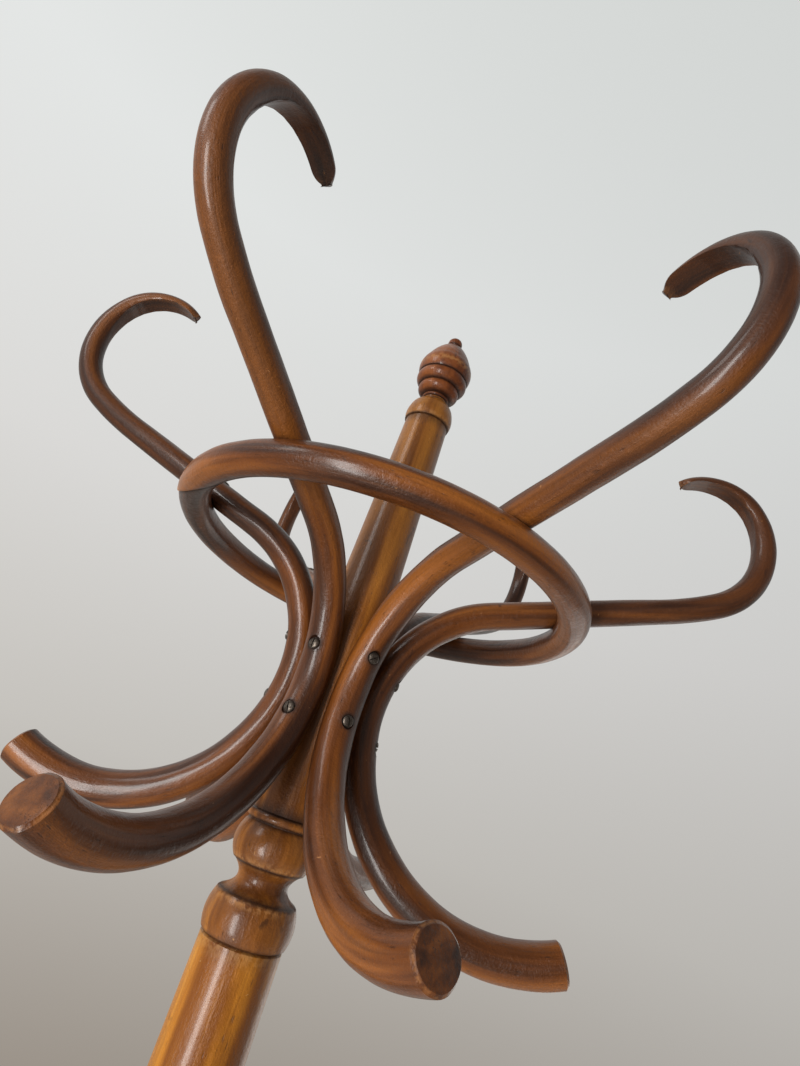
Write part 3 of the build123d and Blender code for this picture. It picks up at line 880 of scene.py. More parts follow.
class ScrewTree:
    """The node tree that makes one screw and sets it at every seat."""

    SIZES = ("Head Radius", "Edge", "Dome", "Slot Width", "Slot Depth", "Shank Radius", "Shank Length")

    def __init__(self) -> None:
        """Builds the tree."""
        self.tree, self.identifiers = new_tree("slotted_screws", "Seats", self.SIZES, (
            ("Seed", "Int"), ("Finish", "Material")), "Screws")
        self._lay_out(Bench(self.tree))

    @staticmethod
    def _round(bench: Bench, radius: object, depth: object, middle: object) -> bpy.types.NodeSocket:
        """A short cylinder along Z.

        Args:
            bench: the tree's bench.
            radius: its radius.
            depth: its length.
            middle: the height of its middle.

        Returns:
            The cylinder.
        """
        body = bench.node("GeometryNodeMeshCylinder", {"Vertices": 40, "Radius": radius, "Depth": depth})
        lift = bench.node("ShaderNodeCombineXYZ", {2: middle}).outputs[0]
        moved = bench.node("GeometryNodeTransform", {"Geometry": body.outputs[0], "Translation": lift})
        return moved.outputs[0]

    def _lay_out(self, bench: Bench) -> None:
        """Lays the tree out.

        Args:
            bench: the tree's bench.
        """
        given = bench.node("NodeGroupInput").outputs
        half_edge = bench.maths("MULTIPLY", given["Edge"], 0.5)
        edge = self._round(bench, given["Head Radius"], given["Edge"], half_edge)
        sink = bench.maths("MULTIPLY", given["Shank Length"], -0.5)
        shank = self._round(bench, given["Shank Radius"], given["Shank Length"], sink)
        ball = bench.node("GeometryNodeMeshUVSphere", {"Segments": 40, "Rings": 20, "Radius": 1.0}).outputs[0]
        size = bench.node("ShaderNodeCombineXYZ", {
            0: given["Head Radius"], 1: given["Head Radius"], 2: given["Dome"]}).outputs[0]
        lift = bench.node("ShaderNodeCombineXYZ", {2: given["Edge"]}).outputs[0]
        dome = bench.node("GeometryNodeTransform", {
            "Geometry": ball, "Translation": lift, "Scale": size}).outputs[0]
        whole = bench.node("GeometryNodeMeshBoolean", operation="UNION", solver="EXACT")
        for part in (edge, shank, dome):
            bench.tree.links.new(part, whole.inputs["Mesh 2"])
        crest = bench.maths("ADD", given["Edge"], given["Dome"])
        slot_size = bench.node("ShaderNodeCombineXYZ", {
            0: given["Slot Width"], 1: bench.maths("MULTIPLY", given["Head Radius"], 3.0),
            2: bench.maths("MULTIPLY", given["Slot Depth"], 2.0)}).outputs[0]
        block = bench.node("GeometryNodeMeshCube", {"Size": slot_size}).outputs[0]
        slot = bench.node("GeometryNodeTransform", {
            "Geometry": block, "Translation": bench.node("ShaderNodeCombineXYZ", {2: crest}).outputs[0],
        }).outputs[0]
        slotted = bench.node("GeometryNodeMeshBoolean", operation="DIFFERENCE", solver="EXACT")
        bench.feed(slotted.inputs["Mesh 1"], whole.outputs[0])
        bench.tree.links.new(slot, slotted.inputs["Mesh 2"])

        facing = bench.node("GeometryNodeInputNamedAttribute", data_type="FLOAT_VECTOR")
        facing.inputs["Name"].default_value = "facing"
        stand = bench.node("FunctionNodeAlignRotationToVector", {"Vector": facing.outputs[0]}, axis="Z")
        any_turn = bench.node("FunctionNodeRandomValue", {"Seed": given["Seed"]}, data_type="FLOAT")
        any_turn.inputs[2].default_value = 0.0
        any_turn.inputs[3].default_value = pi
        spin = bench.node("FunctionNodeAxisAngleToRotation", {
            "Axis": (0.0, 0.0, 1.0), "Angle": any_turn.outputs[1]})
        driven = bench.node("FunctionNodeRotateRotation", {
            "Rotation": stand.outputs[0], "Rotate By": spin.outputs[0]}, rotation_space="LOCAL")
        dots = bench.node("GeometryNodeMeshToPoints", {"Mesh": given["Seats"]}).outputs[0]
        placed = bench.node("GeometryNodeInstanceOnPoints", {
            "Points": dots, "Instance": slotted.outputs[0], "Rotation": driven.outputs[0]}).outputs[0]
        real = bench.node("GeometryNodeRealizeInstances", {"Geometry": placed}).outputs[0]
        dressed = bench.node("GeometryNodeSetMaterial", {"Geometry": real, "Material": given["Finish"]})
        out = bench.node("NodeGroupOutput")
        bench.feed(out.inputs[0], dressed.outputs[0])

    def drive(self, name: str, seats: Sequence[Seat], seed: int,
              finish: bpy.types.Material) -> bpy.types.Object:
        """Sets a screw at every seat.

        Args:
            name: the piece's name.
            seats: where the heads sit.
            seed: what turns the slots at random.
            finish: the material.

        Returns:
            A plain mesh object of all the screws.
        """
        mesh = bpy.data.meshes.new(name + "_seats")
        mesh.from_pydata([seat.place for seat in seats], [], [])
        put_values(mesh, "facing", np.array([seat.facing for seat in seats]))
        holder = in_scene(name + "_seats", mesh)
        modifier = holder.modifiers.new("drive", "NODES")
        modifier.node_group = self.tree
        sizes = (SCREW.head_radius, SCREW.edge, SCREW.dome, SCREW.slot_width, SCREW.slot_depth,
                 SCREW.shank_radius, SCREW.shank_length)
        for size, value in zip(self.SIZES, sizes):
            modifier[self.identifiers[size]] = value * MM
        modifier[self.identifiers["Seed"]] = seed
        modifier[self.identifiers["Finish"]] = finish
        screws = settled(holder, modifier)
        bpy.data.objects.remove(holder)
        bpy.data.meshes.remove(mesh)
        shade(screws)
        return in_scene(name, screws)


def sink_seats(piece: bpy.types.Object, seats: Sequence[Seat]) -> None:
    """Cuts the flat round seats for screw heads into a rod.

    Args:
        piece: the rod.
        seats: where the heads sit.
    """
    work = bmesh.new()
    for seat in seats:
        turn = seat.facing.to_track_quat("Z", "Y").to_matrix().to_4x4()
        depth = CUTTER_DEPTH * MM
        bmesh.ops.create_cone(
            work, cap_ends=True, segments=36, radius1=SCREW.seat_radius * MM,
            radius2=(SCREW.seat_radius + CUTTER_FLARE) * MM, depth=depth,
            matrix=Matrix.Translation(seat.place + seat.facing * depth / 2) @ turn)
    cutter_mesh = bpy.data.meshes.new(piece.name + "_cutter")
    work.to_mesh(cutter_mesh)
    work.free()
    cutter = in_scene(piece.name + "_cutter", cutter_mesh)
    modifier = piece.modifiers.new("seats", "BOOLEAN")
    modifier.object = cutter
    modifier.operation = "DIFFERENCE"
    modifier.solver = "EXACT"
    cut = settled(piece, modifier)
    old = piece.data
    piece.data = cut
    bpy.data.meshes.remove(old)
    bpy.data.objects.remove(cutter)
    bpy.data.meshes.remove(cutter_mesh)
    shade(cut)


def rod_grain(mesh: bpy.types.Mesh, line: np.ndarray, along: np.ndarray, normal: Vector,
              seed: float) -> np.ndarray:
    """Writes the attribute "grain" of a bent rod from its centre line.

    Args:
        mesh: the rod.
        line: rows of points of its centre line.
        along: how far along the rod each of them is, in metres.
        normal: the direction square to the line's plane.
        seed: what makes the wood of this rod its own.

    Returns:
        For each vertex its place across, across and along the straight rod.
    """
    points = places(mesh)
    best = np.zeros(len(points), int)
    chunk = 4000
    for start in range(0, len(points), chunk):
        part = points[start:start + chunk]
        gaps = ((part[:, None, :] - line[None, :, :]) ** 2).sum(axis=2)
        best[start:start + chunk] = gaps.argmin(axis=1)
    heading = np.gradient(line, axis=0)
    heading /= np.linalg.norm(heading, axis=1)[:, None]
    across = np.array(normal)
    outward = np.cross(across, heading)
    offset = points - line[best]
    straight = np.stack([offset @ across, (offset * outward[best]).sum(axis=1),
                         along[best] + (offset * heading[best]).sum(axis=1)], axis=1)
    put_values(mesh, "grain", straight + np.array([seed, 2.3 * seed, 3.1 * seed]))
    return straight


# ---- turned pieces -------------------------------------------------------------------------


def swelling(start: tuple[float, float], middle: tuple[float, float], end: tuple[float, float],
             steps: int = 14) -> list[tuple[float, float]]:
    """A swelling or a hollow in an outline, through three points.

    Args:
        start: where it starts.
        middle: the point between.
        end: where it ends.
        steps: how many points it is drawn with.

    Returns:
        The points after the start, the end among them.
    """
    first, between, last = Vector(start), Vector(middle), Vector(end)
    share = (between - first).length / ((between - first).length + (last - between).length)
    points = []
    for step in range(1, steps + 1):
        t = step / steps
        point = (first * (t - share) * (t - 1) / share
                 + between * t * (t - 1) / (share * (share - 1))
                 + last * t * (t - share) / (1 - share))
        points.append((point.x, point.y))
    return points


class Lathe:
    """Turns closed pieces of wood from outlines of (radius, height) in mm."""

    SIDES = 112
    REACH = 9.0         # between rings on a long plain stretch, in mm
    GROOVE_REACH = 1.6  # how far dirt reaches from a groove
    RUBBED_REACH = 4.0  # how far a rubbed band reaches from its middle

    def outline(self, steps: Sequence[OutlineStep]) -> list[tuple[float, float]]:
        """The points of an outline, with its swellings drawn and its long stretches divided.

        Args:
            steps: corners, and pairs of a middle and an end for each swelling.

        Returns:
            The points in order.
        """
        points = [steps[0]]
        for step in steps[1:]:
            if isinstance(step[0], tuple):
                points += swelling(points[-1], step[0], step[1])
                continue
            start, end = Vector(points[-1]), Vector(step)
            parts = max(1, ceil((end - start).length / self.REACH))
            points += [tuple(start.lerp(end, part / parts)) for part in range(1, parts + 1)]
        return points

    def turn(self, name: str, steps: Sequence[OutlineStep], grooves: Sequence[float],
             rubbed: Sequence[float], seed: float) -> bpy.types.Object:
        """Turns one piece.

        Args:
            name: the piece's name.
            steps: its outline, which starts and ends on the axis.
            grooves: heights at which dirt lies in it, in mm.
            rubbed: heights at which its lacquer is rubbed off, in mm.
            seed: what makes the wood of this piece its own.

        Returns:
            The turned piece, with the attributes that its finish reads.
        """
        points = self.outline(steps)
        work = bmesh.new()
        rings = []
        for radius, height in points:
            if radius < 1e-6:
                rings.append([work.verts.new((0, 0, height * MM))])
                continue
            rings.append([work.verts.new((radius * MM * cos(2 * pi * side / self.SIDES),
                                          radius * MM * sin(2 * pi * side / self.SIDES), height * MM))
                          for side in range(self.SIDES)])
        for lower, upper in zip(rings, rings[1:]):
            for side in range(self.SIDES):
                after = (side + 1) % self.SIDES
                corners = [lower[side % len(lower)], lower[after % len(lower)],
                           upper[after % len(upper)], upper[side % len(upper)]]
                face = list(dict.fromkeys(corners))
                if len(face) > 2:
                    work.faces.new(face)
        bmesh.ops.recalc_face_normals(work, faces=work.faces)
        mesh = bpy.data.meshes.new(name)
        work.to_mesh(mesh)
        work.free()
        shade(mesh, 24.0)
        place = places(mesh)
        put_values(mesh, "grain", place + np.array([seed, 1.7 * seed, 0.9 * seed]))
        height = place[:, 2] / MM
        grime_and_shade = np.zeros(len(height))
        for groove in grooves:
            grime_and_shade = np.maximum(grime_and_shade, np.clip(1.25 - np.abs(height - groove) / self.GROOVE_REACH, 0, 1))
        worn = np.zeros(len(height))
        for band in rubbed:
            worn = np.maximum(worn, fading(np.abs(height - band), self.RUBBED_REACH))
        put_values(mesh, "grime_and_shade", grime_and_shade)
        put_values(mesh, "worn", 0.5 * worn * (1 - grime_and_shade))
        return in_scene(name, mesh)


# ---- the head ------------------------------------------------------------------------------


@dataclass
class BentRing:
    """A ring bent from one rod, whose ends lap over each other along one slanting cut."""

    radius: float = 150.0
    rod: RodShape = field(default_factory=lambda: RodShape(
        11.5, 0.0, oval=1.0, foot_bevel=0.0, unevenness=0.10))
    scarf_from: float = 192.0
    scarf_length: float = 64.0
    proud: float = 1.3


@dataclass
class HeadRing(BentRing):
    """The bent ring under the arms, whose outer tip stands a little proud."""

    centre: tuple[float, float, float] = (4.0, -3.0, 97.5)
    lean_forward: float = 2.5
    lean_side: float = 1.0

    def axis(self) -> Vector:
        """The unit direction of the ring's own axis."""
        return Vector((sin(radians(self.lean_side)), sin(radians(self.lean_forward)), 1.0)).normalized()

    def middle(self, waist: float) -> Vector:
        """The ring's centre, for a waist at that height in metres."""
        return Vector(self.centre) * MM + Vector((0, 0, waist))

    def nearest(self, waist: float, point: Vector) -> Vector:
        """The point of the ring's line that is nearest to another point.

        Args:
            waist: the height of the arms' waist in metres.
            point: the other point.

        Returns:
            The nearest point.
        """
        axis, middle = self.axis(), self.middle(waist)
        arm = point - middle
        flat = arm - axis * arm.dot(axis)
        return middle + flat.normalized() * self.radius * MM

    def build(self, tree: RodTree, waist: float, finish: bpy.types.Material) -> bpy.types.Object:
        """Bends the ring.

        Args:
            tree: the rod tree.
            waist: the height of the arms' waist in metres.
            finish: its material.

        Returns:
            The ring, with the attributes that its finish reads.
        """
        return scarfed_ring("bent_head_ring", tree, self, self.middle(waist), self.axis(), finish)


@dataclass
class UmbrellaRing(BentRing):
    """The bent ring inside the legs."""

    scarf_from: float = 33.0
    proud: float = 0.5

    def build(self, tree: RodTree, height: float, finish: bpy.types.Material) -> bpy.types.Object:
        """Bends the ring.

        Args:
            tree: the rod tree.
            height: the height of its line in metres.
            finish: its material.

        Returns:
            The ring, with the attributes that its finish reads.
        """
        middle = Vector((0, 0, height))
        return scarfed_ring("bent_umbrella_ring", tree, self, middle, Vector((0, 0, 1)), finish)


SCARF_START = 0.90      # where the slanting cut enters the rod, as a share of its radius
SCARF_SLOPE = 1.9       # how far it goes across in the length of the lap, in radii


def scarfed_ring(name: str, tree: RodTree, ring: BentRing, middle: Vector, axis: Vector,
                 finish: bpy.types.Material) -> bpy.types.Object:
    """Sweeps a ring whose ends lap over each other along one slanting cut.

    Args:
        name: the piece's name.
        tree: the rod tree.
        ring: the ring's sizes.
        middle: its centre in metres.
        axis: its axis.
        finish: its material.

    Returns:
        The ring, with the attributes that its finish reads.
    """
    start_x = Vector((cos(radians(ring.scarf_from)), sin(radians(ring.scarf_from)), 0))
    start_x = (start_x - axis * start_x.dot(axis)).normalized()
    start_y = axis.cross(start_x)
    radius, lap = ring.radius * MM, ring.scarf_length * MM
    whole = 2 * pi * radius + lap
    steps = ceil(whole / (ring.rod.spacing * MM))
    turns = [whole / radius * step / steps for step in range(steps + 1)]
    line = [middle + (start_x * cos(turn) + start_y * sin(turn)) * radius for turn in turns]
    piece = tree.sweep(name, line, -axis, ring.rod, 0.0, 4.0, finish)
    mesh = piece.data
    straight = np.zeros(len(mesh.vertices) * 3, np.float32)
    mesh.attributes["grain"].data.foreach_get("vector", straight)
    straight = straight.reshape(-1, 3).astype(float)
    points = places(mesh)
    flat = points - np.array(middle)
    rise = flat @ np.array(axis)
    turn = straight[:, 2] / (radius + 1e-12)
    direction = (np.cos(turn)[:, None] * np.array(start_x) + np.sin(turn)[:, None] * np.array(start_y))
    out = (flat * direction).sum(axis=1) - radius
    rod_r = ring.rod.radius * MM
    into = np.clip(straight[:, 2] / lap, 0, None)
    outer = into < 1
    limit = rod_r * np.clip(SCARF_START - SCARF_SLOPE * into, -1, 1)
    chord = np.sqrt(rod_r ** 2 - limit ** 2)
    rise = np.where(outer & (out < limit), np.clip(rise, -chord, chord), rise)
    out = np.where(outer, np.maximum(out, limit), out)
    out = np.where(outer, out + ring.proud * MM * np.clip(1 - into, 0, 1) ** 2, out)
    from_end = np.clip((straight[:, 2] - (whole - lap)) / lap, 0, None)
    inner = from_end > 0
    inner_limit = rod_r * np.clip(SCARF_START - SCARF_SLOPE * from_end, -0.99, 1)
    chord = np.sqrt(rod_r ** 2 - inner_limit ** 2)
    rise = np.where(inner & (out > inner_limit), np.clip(rise, -chord, chord), rise)
    out = np.where(inner, np.minimum(out, inner_limit), out)
    points = np.array(middle) + direction * (radius + out)[:, None] + rise[:, None] * np.array(axis)
    mesh.vertices.foreach_set("co", points.ravel())
    mesh.update()
    shade(mesh)
    put_values(mesh, "grain", straight + np.array([0.7, 0.4, 0.2]))
    seam = np.where(outer, np.clip(1 - np.abs(out - limit) / (2.2 * MM), 0, 1) * 0.8, 0.0)
    seam = np.maximum(seam, np.where(inner, np.clip(1 - np.abs(out - inner_limit) / (2.0 * MM), 0, 1), 0.0))
    put_values(mesh, "grime_and_shade", seam)
    put_values(mesh, "worn", np.where(into < 0.12, 0.8, 0.0))
    return piece


@dataclass
class Arms:
    """The six bent arms of the head: one bent form, with its own placement for each arm.

    A placement is the azimuth, the lean outwards and the lean sideways in degrees, and the lift in
    mm. Bends and placements are rounded results of a least-squares fit.
    """

    RING_DIRT = 2.5     # how far dirt reaches from where an arm lies on the ring, in mm

    bends: BendSchedule = BendSchedule(
        up=((128.0, 71.0), (133.0, 0.0), (40.0, -10.0), (101.0, -95.0), (65.0, -95.0)),
        down=((230.0, 114.0),))
    rod: RodShape = RodShape(12.0, -0.0073, planed_depth=0.66, tip_round=9.0, foot_bevel=1.6)
    waist_radius: float = 30.5
    shaft_radius: float = 23.2
    screw_heights: tuple[float, ...] = (25.0, -20.0)
    fitting: tuple[tuple[float, float, float, float], ...] = (
        (175.0, -0.5, 4.0, 7.0), (239.5, -3.5, -0.5, 0.0), (295.0, -0.5, 3.5, 4.0),
        (351.0, -0.5, 1.5, -4.0), (57.0, -2.0, -4.5, -6.0), (114.5, 0.0, 0.5, -1.0))
    crossing: tuple[int, int] = (140, 240)

    def placement(self, waist: float, number: int) -> Matrix:
        """From an arm's own frame to the rack's, in metres.

        Args:
            waist: the height of the waist in metres.
            number: which arm, from 0.

        Returns:
            The placement.
        """
        azimuth, lean_out, lean_side, lift = self.fitting[number]
        shift = Matrix.Translation((self.waist_radius * MM, 0, waist + lift * MM))
        return (Matrix.Rotation(radians(azimuth), 4, "Z") @ shift
                @ Matrix.Rotation(radians(-lean_side), 4, "X") @ Matrix.Rotation(radians(lean_out), 4, "Y"))

    def seats(self, placement: Matrix) -> list[Seat]:
        """Where the screws into the shaft sit on one arm.

        Args:
            placement: the arm's placement.

        Returns:
            A seat for each screw.
        """
        found = []
        for height in self.screw_heights:
            place, _ = self.bends.station(height)
            out = self.rod.radius * self.rod.oval * MM - SCREW.seat_depth * MM
            facing = placement.to_3x3() @ Vector((1, 0, 0))
            found.append(Seat(placement @ (place + Vector((out, 0, 0))), facing.normalized()))
        return found

    def ring_seat(self, placement: Matrix, ring: HeadRing, waist: float) -> Seat:
        """Where the screw into the head ring sits on one arm.

        Args:
            placement: the arm's placement.
            ring: the head ring.
            waist: the height of the waist in metres.

        Returns:
            The seat, on the side of the arm away from the ring.
        """
        best = None
        for distance in range(*self.crossing):
            on_arm = placement @ self.bends.station(distance)[0]
            on_ring = ring.nearest(waist, on_arm)
            gap = (on_ring - on_arm).length
            if best is None or gap < best[0]:
                best = (gap, distance, on_arm, on_ring)
        _, distance, on_arm, on_ring = best
        toward = (on_ring - on_arm).normalized()
        crest = self.rod.half_thickness(distance) - SCREW.seat_depth * MM
        return Seat(on_arm - toward * crest, -toward)

    def build(self, tree: RodTree, ring: HeadRing, waist: float,
              finish: bpy.types.Material) -> tuple[list[bpy.types.Object], list[Seat], list[Seat]]:
        """Bends, drills and ages the arms.

        Args:
            tree: the rod tree.
            ring: the head ring that they are screwed to.
            waist: the height of the waist in metres.
            finish: their material.

        Returns:
            The arms, the seats of their own screws and the seats of the ring's.
        """
        arms, waist_seats, ring_seats = [], [], []
        stations = self.rod.stations(-self.bends.bottom, self.bends.top)
        for number in range(len(self.fitting)):
            placement = self.placement(waist, number)
            line = [placement @ self.bends.station(distance)[0] for distance in stations]
            normal = (placement.to_3x3() @ Vector((0, 1, 0))).normalized()
            arm = tree.sweep(f"bent_arm_{number + 1}", line, normal, self.rod, self.bends.bottom * MM,
                             1.37 * number, finish)
            seats, top = self.seats(placement), self.ring_seat(placement, ring, waist)
            sink_seats(arm, seats + [top])
            self.age(arm, np.array(line), np.array(stations), normal, number, seats + [top], ring, waist)
            arms.append(arm)
            waist_seats += seats
            ring_seats.append(top)
        return arms, waist_seats, ring_seats

    def age(self, arm: bpy.types.Object, line: np.ndarray, stations: np.ndarray, normal: Vector, number: int,
            seats: Sequence[Seat], ring: HeadRing, waist: float) -> None:
        """Writes the attributes that an arm's finish reads.

        Args:
            arm: the arm.
            line: its centre line.
            stations: how far up from the waist each point of the line is, in mm.
            normal: the direction square to the arm's plane.
            number: which arm, from 0.
            seats: its screws' seats.
            ring: the head ring.
            waist: the height of the waist in metres.
        """
        mesh = arm.data
        straight = rod_grain(mesh, line, stations * MM, normal, 0.31 * number + 0.2)
        points = places(mesh)
        axis_gap = np.hypot(points[:, 0], points[:, 1]) - self.shaft_radius * MM
        by_shaft = fading(axis_gap, JOINT_DIRT * MM) * (np.abs(straight[:, 2]) < 0.10)
        middle, axis = np.array(ring.middle(waist)), np.array(ring.axis())
        from_middle = points - middle
        rise = from_middle @ axis
        out = np.linalg.norm(from_middle - rise[:, None] * axis, axis=1) - ring.radius * MM
        ring_gap = np.hypot(out, rise) - ring.rod.radius * MM
        by_ring = fading(ring_gap, self.RING_DIRT * MM)
        by_screw = near(points, [seat.place for seat in seats], SCREW_DIRT * MM,
                         SCREW_DIRT_CORE * MM)
        foot = straight[:, 2] + self.bends.bottom * MM
        from_axis = np.hypot(straight[:, 0], straight[:, 1]) / MM
        end_grain = (foot < 0.05 * MM) * np.clip((self.rod.radius + 0.4 - from_axis) / 1.5, 0, 1) * 0.25
        # Painted shade: the upper arms and hooks are darkened from 0.10 m above the waist upwards, in place
        # of the shade that falls on them.
        upper_arm_shade = np.clip((straight[:, 2] - 0.10) / 0.16, 0, 1) * 0.42
        put_values(mesh, "grime_and_shade", np.maximum.reduce([by_shaft, by_ring, by_screw, end_grain, upper_arm_shade]))
        at_rim = fading(np.abs(foot - 0.5 * MM), 1.4 * MM) * (end_grain < 0.02) * 0.45
        tip = fading(self.bends.top * MM - straight[:, 2], 5 * MM) * 0.2
        put_values(mesh, "worn", np.maximum(at_rim, tip))


@dataclass
class HeadTurnery:
    """The turned shaft and the finial, by heights in mm over the waist."""

    waist: float
    seam: float = -157.0
    collar: float = 241.0
    neck: float = 267.0
    spigot_radius: float = 12.0
    spigot_length: float = 55.0
    dowel_radius: float = 5.0
    dowel_length: float = 20.0
    slack: float = 0.05
    gap: float = 2.0

    def shaft(self, lathe: Lathe) -> bpy.types.Object:
        """Turns the shaft: spigot, two bulbs with a cove between, tapered shaft and collar.

        Args:
            lathe: the lathe.

        Returns:
            The shaft.
        """
        w = self.waist
        seam, collar, neck = w + self.seam, w + self.collar, w + self.neck
        bore, floor = self.dowel_radius + self.slack, neck - self.dowel_length - self.gap
        return lathe.turn("turned_shaft", [
            (0.0, seam - self.spigot_length), (self.spigot_radius - 1.5, seam - self.spigot_length),
            (self.spigot_radius, seam - self.spigot_length + 1.5), (self.spigot_radius, seam),
            (26.0, seam), (27.8, seam + 1.3), ((29.6, w - 147.5), (26.6, w - 133.0)), (25.4, w - 132.0),
            ((17.2, w - 124.0), (22.8, w - 114.8)), (24.2, w - 114.2), ((28.1, w - 103.0), (24.6, w - 91.0)),
            (23.7, w - 90.0), (23.7, w - 89.2), (24.8, w - 88.6), ((25.7, w - 86.2), (24.8, w - 83.8)),
            (23.2, w - 83.0), (23.2, w + 45.0), (18.5, collar - 0.8), (18.1, collar), (19.6, collar + 0.6),
            ((20.4, collar + 5.0), (19.3, collar + 13.0)), ((16.6, collar + 19.0), (10.5, collar + 23.5)),
            (10.5, neck), (bore, neck), (bore, floor), (0.0, floor),
        ], (seam, w - 132.2, w - 114.6, w - 89.6, w - 83.4, collar, collar + 23.5),
            (w - 133.6, w - 113.6, collar + 1.2), 0.45)

    def finial(self, lathe: Lathe) -> bpy.types.Object:
        """Turns the finial: a beehive of three rings under a pointed cap, on a dowel.

        Args:
            lathe: the lathe.

        Returns:
            The finial.
        """
        w = self.waist
        neck = w + self.neck
        return lathe.turn("turned_finial", [
            (0.0, neck - self.dowel_length), (self.dowel_radius, neck - self.dowel_length),
            (self.dowel_radius, neck), (10.1, neck), ((11.9, w + 268.6), (11.7, w + 270.0)),
            (11.4, w + 270.4), (12.9, w + 270.8), ((17.8, w + 275.0), (17.5, w + 280.2)),
            (17.0, w + 280.6), (18.3, w + 281.0), ((22.4, w + 286.0), (21.9, w + 291.2)),
            (21.3, w + 291.6), (22.3, w + 292.0), ((23.8, w + 299.0), (20.8, w + 309.0)),
            ((14.2, w + 321.0), (6.4, w + 329.5)), (5.6, w + 330.3), (6.4, w + 331.2),
            ((5.4, w + 336.6), (0.0, w + 339.0)),
        ], (neck, w + 270.4, w + 280.6, w + 291.6, w + 330.3), (w + 300.0,), 0.83)


# ---- the base ------------------------------------------------------------------------------


@dataclass
class BaseTurnery:
    """The lower post and the drop under it, by heights in mm over the floor."""

    seam: float
    foot: float = 262.0
    band: float = 640.0
    foot_radius: float = 26.5
    belly_radius: float = 28.8
    top_radius: float = 26.8
    socket_radius: float = 12.05
    socket_depth: float = 57.0
    bore_radius: float = 5.05
    bore_depth: float = 22.0
    dowel_radius: float = 5.0
    dowel_length: float = 20.0
    drop_length: float = 62.0

    def post(self, lathe: Lathe) -> bpy.types.Object:
        """Turns the lower post, with its band over the legs and the socket for the head.

        Args:
            lathe: the lathe.

        Returns:
            The post.
        """
        foot, band, seam, r = self.foot, self.band, self.seam, self.foot_radius
        return lathe.turn("turned_post", [
            (0.0, foot + self.bore_depth), (self.bore_radius, foot + self.bore_depth),
            (self.bore_radius, foot), (r - 2, foot), (r, foot + 3), (r, band), (r - 1.2, band + 1),
            ((r + 4.6, band + 10), (r - 0.5, band + 19)), (r - 1.5, band + 20),
            ((r - 5.5, band + 27), (r - 0.5, band + 35)), (self.belly_radius, band + 36),
            (self.belly_radius, band + 42), (self.belly_radius - 1, band + 43),
            (self.belly_radius, band + 44),
            (self.top_radius, seam - 1.4), (self.top_radius - 1.4, seam), (self.socket_radius, seam),
            (self.socket_radius, seam - self.socket_depth), (0.0, seam - self.socket_depth),
        ], (seam, band + 1, band + 20, band + 35.5, band + 43), (seam - 3.4, band + 36.5), 1.21)

    def drop(self, lathe: Lathe) -> bpy.types.Object:
        """Turns the drop under the post, on a dowel.

        Args:
            lathe: the lathe.

        Returns:
            The drop.
        """
        top = self.foot
        return lathe.turn("turned_drop", [
            (0.0, top + self.dowel_length), (self.dowel_radius, top + self.dowel_length),
            (self.dowel_radius, top), (20.0, top), ((23.0, top - 4), (20.0, top - 8)), (18.6, top - 9),
            ((13.0, top - 14), (15.5, top - 20)), (17.0, top - 21), ((24.0, top - 36), (13.0, top - 52)),
            (6.4, top - 55), ((5.4, top - 60), (0.0, top - self.drop_length)),
        ], (top, top - 9, top - 20.5, top - 55), (top - 38.0,), 1.66)


